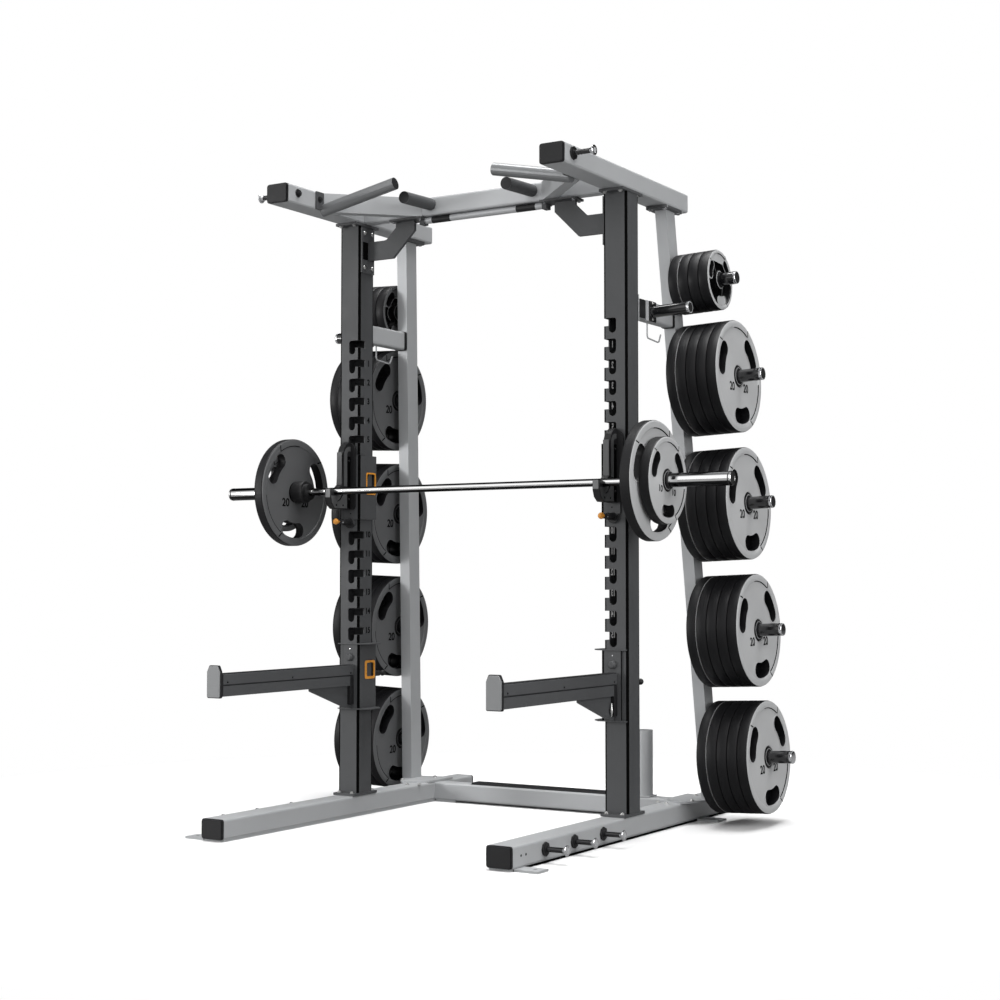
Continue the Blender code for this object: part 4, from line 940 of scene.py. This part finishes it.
# ------------------------------------------------------------- top of the cage
def top_details(word):
    side = SIDES[word]
    head_x = POST_HIGH.x
    head_y = POST_HIGH.y - SHIFT
    plate = oblong(head_x - 0.0470, head_x + 0.0455, head_y - 0.0800, head_y + 0.0800, 0.020)
    part("post_head_plate", word, CHARCOAL, "frame", [("Z", plate, 2.3457, 2.3566)], 0.001)
    knobs("post_head_bolts", word, CHROME, "frame",
          [(head_x + dx, head_y + dy, 2.3457) for dx in (-0.030, 0.030) for dy in (-0.058, 0.058)],
          (0, 0, -1), 0.0075, add_bolt)
    part("bracket_top_plate", word, CHARCOAL, "frame",
         [("Z", oblong(0.2685, 0.4195, 0.0140, 0.0940, 0.004), 2.3484, 2.3566)], 0.0008)
    knobs("bracket_end_bolts", word, CHROME, "frame",
          [(x, y, 2.3484) for x in (0.284, 0.407) for y in (0.032, 0.078)], (0, 0, -1), 0.0065, add_bolt)
    knobs("beam_rear_bolts", word, STEEL, "frame",
          [(x, 0.488, BEAM_BOTTOM) for x in (0.580, 0.616)], (0, 0, -1), 0.0070, add_bolt)


def grip_ends():
    """Black end discs on the pull-up grips and black bands near both ends of the round bar."""
    disc = [(-0.0010, 0.0228), (-0.0005, 0.0231), (0.0003, 0.0226), (0.0004, 0.0)]
    for word, side in SIDES.items():
        root = Vector((side * (INNER - 0.0003), -0.2390 + SHIFT, 2.3620))
        end = Vector((side * 0.2201, -0.2275 + SHIFT, 2.4311))
        lathed("long_grip_end_" + word, BLACK, "frame", "black", along(end, (end - root).normalized()), 40, disc)
        low = Vector((side * 0.2300, 0.0 + SHIFT, 2.3995))
        tip = Vector((side * 0.2284, -0.158 + SHIFT, 2.3922))
        lathed("short_grip_end_" + word, BLACK, "frame", "black", along(tip, (tip - low).normalized()), 40, disc)
        lathed("bar_black_band_" + word, BLACK, "frame", "black",
               along((side * 0.150, 0.054 + SHIFT, 2.3430), (side, 0, 0)), 32,
               [(0.0, 0.0130), (0.0003, 0.0135), (0.0850, 0.0135), (0.0853, 0.0130)])


# ------------------------------------------------------------- feet and floor
def foot_details(word):
    # Near-black discs on the foot's outer face: painted shade in its holes.
    part("foot_side_holes", word, PAINTED_SHADE_AND_PRINT, "frame",
         [("X", arc(y, 0.0455, 0.0042, 0, 360, 12)[:-1], OUTER + 0.0001, OUTER + 0.0004)
          for y in (-0.751, -0.720)])
    # A near-black strip along the foot's outer face at the floor: painted shadow in the gap under the tube.
    line = [(-0.800, 0.0085), (0.836, 0.0085), (0.836, 0.0005), (-0.800, 0.0005)]
    part("foot_base_line", word, PAINTED_SHADE_AND_PRINT, "frame", [("X", line, OUTER - 0.0004, OUTER + 0.0001)])
    on_foot = 0.0801
    on_plate = 0.0884
    knobs("foot_top_bolts", word, STEEL, "frame",
          [(0.597, 0.410, on_foot), (0.551, 0.430, on_foot), (0.670, 0.480, on_plate), (0.612, 0.641, on_plate),
           (0.700, 0.640, on_plate)], (0, 0, 1), 0.0070, add_bolt)


def corner_strips(word):
    """Painted dark reflection: near-black strips along an upright's rounded edges, broken where the slots cut
    its inner front edge.
    """
    radius = 0.007
    middle_y = TUBE / 2
    shapes = []
    for sx in (-1, 1):
        for sy in (-1, 1):
            cx = UPRIGHT_X + sx * (TUBE / 2 - radius)
            cy = middle_y + sy * (TUBE / 2 - radius)
            start = math.degrees(math.atan2(sy, sx)) - 52
            outline = arc(cx, cy, radius + 0.0002, start, start + 104, 8)
            outline += arc(cx, cy, radius - 0.0008, start + 104, start, 8)
            spans = [(0.0890, 2.3460)]
            if (sx, sy) == (-1, -1):
                tops = [SLOT_TOP - SLOT_PITCH * n for n in range(19)]
                spans = [(tops[0] + 0.0004, 2.3460)]
                spans += [(low + 0.0004, high - 0.0294) for high, low in zip(tops, tops[1:])]
                spans.append((0.0890, tops[-1] - 0.0294))
            shapes += [("Z", outline, low, high) for low, high in spans]
    part("upright_corner_dark_reflection", word, PAINTED_SHADE_AND_PRINT, "frame", shapes)


def carriage_edges(name, word, body, low, high):
    """The dark line down the bend between a carriage's front plate and its inner side: painted shade at the
    bend.
    """
    x = CARRIAGE_INNER
    outline = [(x - 0.0003, -0.0066), (x + 0.0075, -0.0066), (x + 0.0075, -0.0062), (x + 0.0001, -0.0062),
               (x + 0.0001, 0.0010), (x - 0.0003, 0.0010)]
    part(name, word, PAINTED_SHADE_AND_PRINT, body, [("Z", outline, low, high)])


for word in SIDES:
    corner_strips(word)
    carriage_edges("hook_bend", word, "hook_" + word, 1.1702, 1.4248)
    carriage_edges("safety_bend", word, "safety_" + word, 0.4232, 0.6748)
    hook_details(word)
    safety_details(word)
    stub_details(word)
    top_details(word)
    foot_details(word)
grip_ends()


def tread_ribs():
    outline = [(-0.370, 0.0868), (0.370, 0.0868), (0.370, 0.0886), (-0.370, 0.0886)]
    bm = bmesh.new()
    for k in range(9):
        y = 0.5600 + 0.0058 * k
        add_shape(bm, 1, "Y", outline, y, y + 0.0030)
    piece("tread_ribs", bm, BLACK, "frame", 35)


tread_ribs()


# ------------------------------------------------------------------- studio
# name, place, target, side length in metres and power in watts
LIGHTS = (
    ("key", (6.3, -0.8, 2.6), (0.0, 0.0, 1.4), 3.0, 185),
    ("top", (0.5, 0.5, 10.0), (0.0, 0.0, 0.0), 7.0, 1450),
    ("front_fill", (-5.6, -5.0, 2.0), (0.0, 0.0, 1.0), 2.0, 170),
)
WHITE = (1.0, 1.0, 1.0, 1.0)
FLOOR_BOUNCE = (0.22, 0.22, 0.22, 1.0)    # the floor's colour for light that it sends back


def area_light(name, place_at, target, size, energy):
    light = bpy.data.lights.new(name, "AREA")
    light.shape = "RECTANGLE"
    light.size = size
    light.size_y = size
    light.energy = energy
    obj = bpy.data.objects.new(name, light)
    bpy.context.scene.collection.objects.link(obj)
    obj.location = place_at
    obj.rotation_euler = (Vector(target) - Vector(place_at)).to_track_quat("-Z", "Y").to_euler()
    return obj


def floor_material():
    """Matt white paper that brightens to plain white away from the object."""
    mat = textured("floor_paper", (0.93, 0.93, 0.93), 0.005, 0.7, 0.03, 200, 0.0001)
    tree = mat.node_tree
    where = tree.nodes.new("ShaderNodeTexCoord")
    reach = tree.nodes.new("ShaderNodeVectorMath")
    reach.operation = "LENGTH"
    tree.links.new(where.outputs["Object"], reach.inputs[0])
    fade = spread(tree, reach.outputs["Value"], 0.0, 1.0, 1.2, 2.8)
    path = tree.nodes.new("ShaderNodeLightPath")
    fade = math_node(tree, "MULTIPLY", fade, path.outputs["Is Camera Ray"])
    dim = tree.nodes.new("ShaderNodeMixRGB")
    plain = tree.nodes["Principled BSDF"].inputs["Base Color"]
    tree.links.new(path.outputs["Is Camera Ray"], dim.inputs["Fac"])
    tree.links.new(plain.links[0].from_socket, dim.inputs["Color2"])
    dim.inputs["Color1"].default_value = FLOOR_BOUNCE
    tree.links.new(dim.outputs["Color"], plain)
    glow = tree.nodes.new("ShaderNodeEmission")
    glow.inputs["Color"].default_value = WHITE
    mix = tree.nodes.new("ShaderNodeMixShader")
    tree.links.new(fade, mix.inputs["Fac"])
    tree.links.new(tree.nodes["Principled BSDF"].outputs["BSDF"], mix.inputs[1])
    tree.links.new(glow.outputs["Emission"], mix.inputs[2])
    tree.links.new(mix.outputs["Shader"], tree.nodes["Material Output"].inputs["Surface"])
    return mat


def studio():
    scene = bpy.context.scene
    bm = bmesh.new()
    bmesh.ops.create_grid(bm, x_segments=1, y_segments=1, size=40.0)
    mesh = bpy.data.meshes.new("floor")
    bm.to_mesh(mesh)
    bm.free()
    floor = bpy.data.objects.new("floor", mesh)
    scene.collection.objects.link(floor)
    mesh.materials.append(floor_material())
    world = bpy.data.worlds.new("studio")
    world.use_nodes = True
    scene.world = world
    tree = world.node_tree
    back = tree.nodes["Background"]
    back.inputs["Color"].default_value = WHITE
    where = tree.nodes.new("ShaderNodeTexCoord")
    split = tree.nodes.new("ShaderNodeSeparateXYZ")
    tree.links.new(where.outputs["Generated"], split.inputs["Vector"])
    tree.links.new(spread(tree, split.outputs["Y"], 1.0, 0.03, -0.60, -0.10), back.inputs["Strength"])
    seen = tree.nodes.new("ShaderNodeBackground")
    seen.inputs["Color"].default_value = WHITE
    seen.inputs["Strength"].default_value = 1.0
    path = tree.nodes.new("ShaderNodeLightPath")
    mix = tree.nodes.new("ShaderNodeMixShader")
    tree.links.new(path.outputs["Is Camera Ray"], mix.inputs["Fac"])
    tree.links.new(back.outputs["Background"], mix.inputs[1])
    tree.links.new(seen.outputs["Background"], mix.inputs[2])
    tree.links.new(mix.outputs["Shader"], tree.nodes["World Output"].inputs["Surface"])
    for row in LIGHTS:
        area_light(*row)
    scene.view_settings.view_transform = "Standard"
    camera = bpy.data.cameras.new("camera")
    camera.lens = 62.524
    camera.sensor_width = 36.0
    camera.clip_end = 200.0
    eye = bpy.data.objects.new("camera", camera)
    scene.collection.objects.link(eye)
    eye.location = (3.5255, -5.5808 + SHIFT, 0.9305)
    eye.rotation_euler = (math.radians(90 + 2.6273), 0.0, math.radians(31.4935))
    scene.camera = eye


studio()
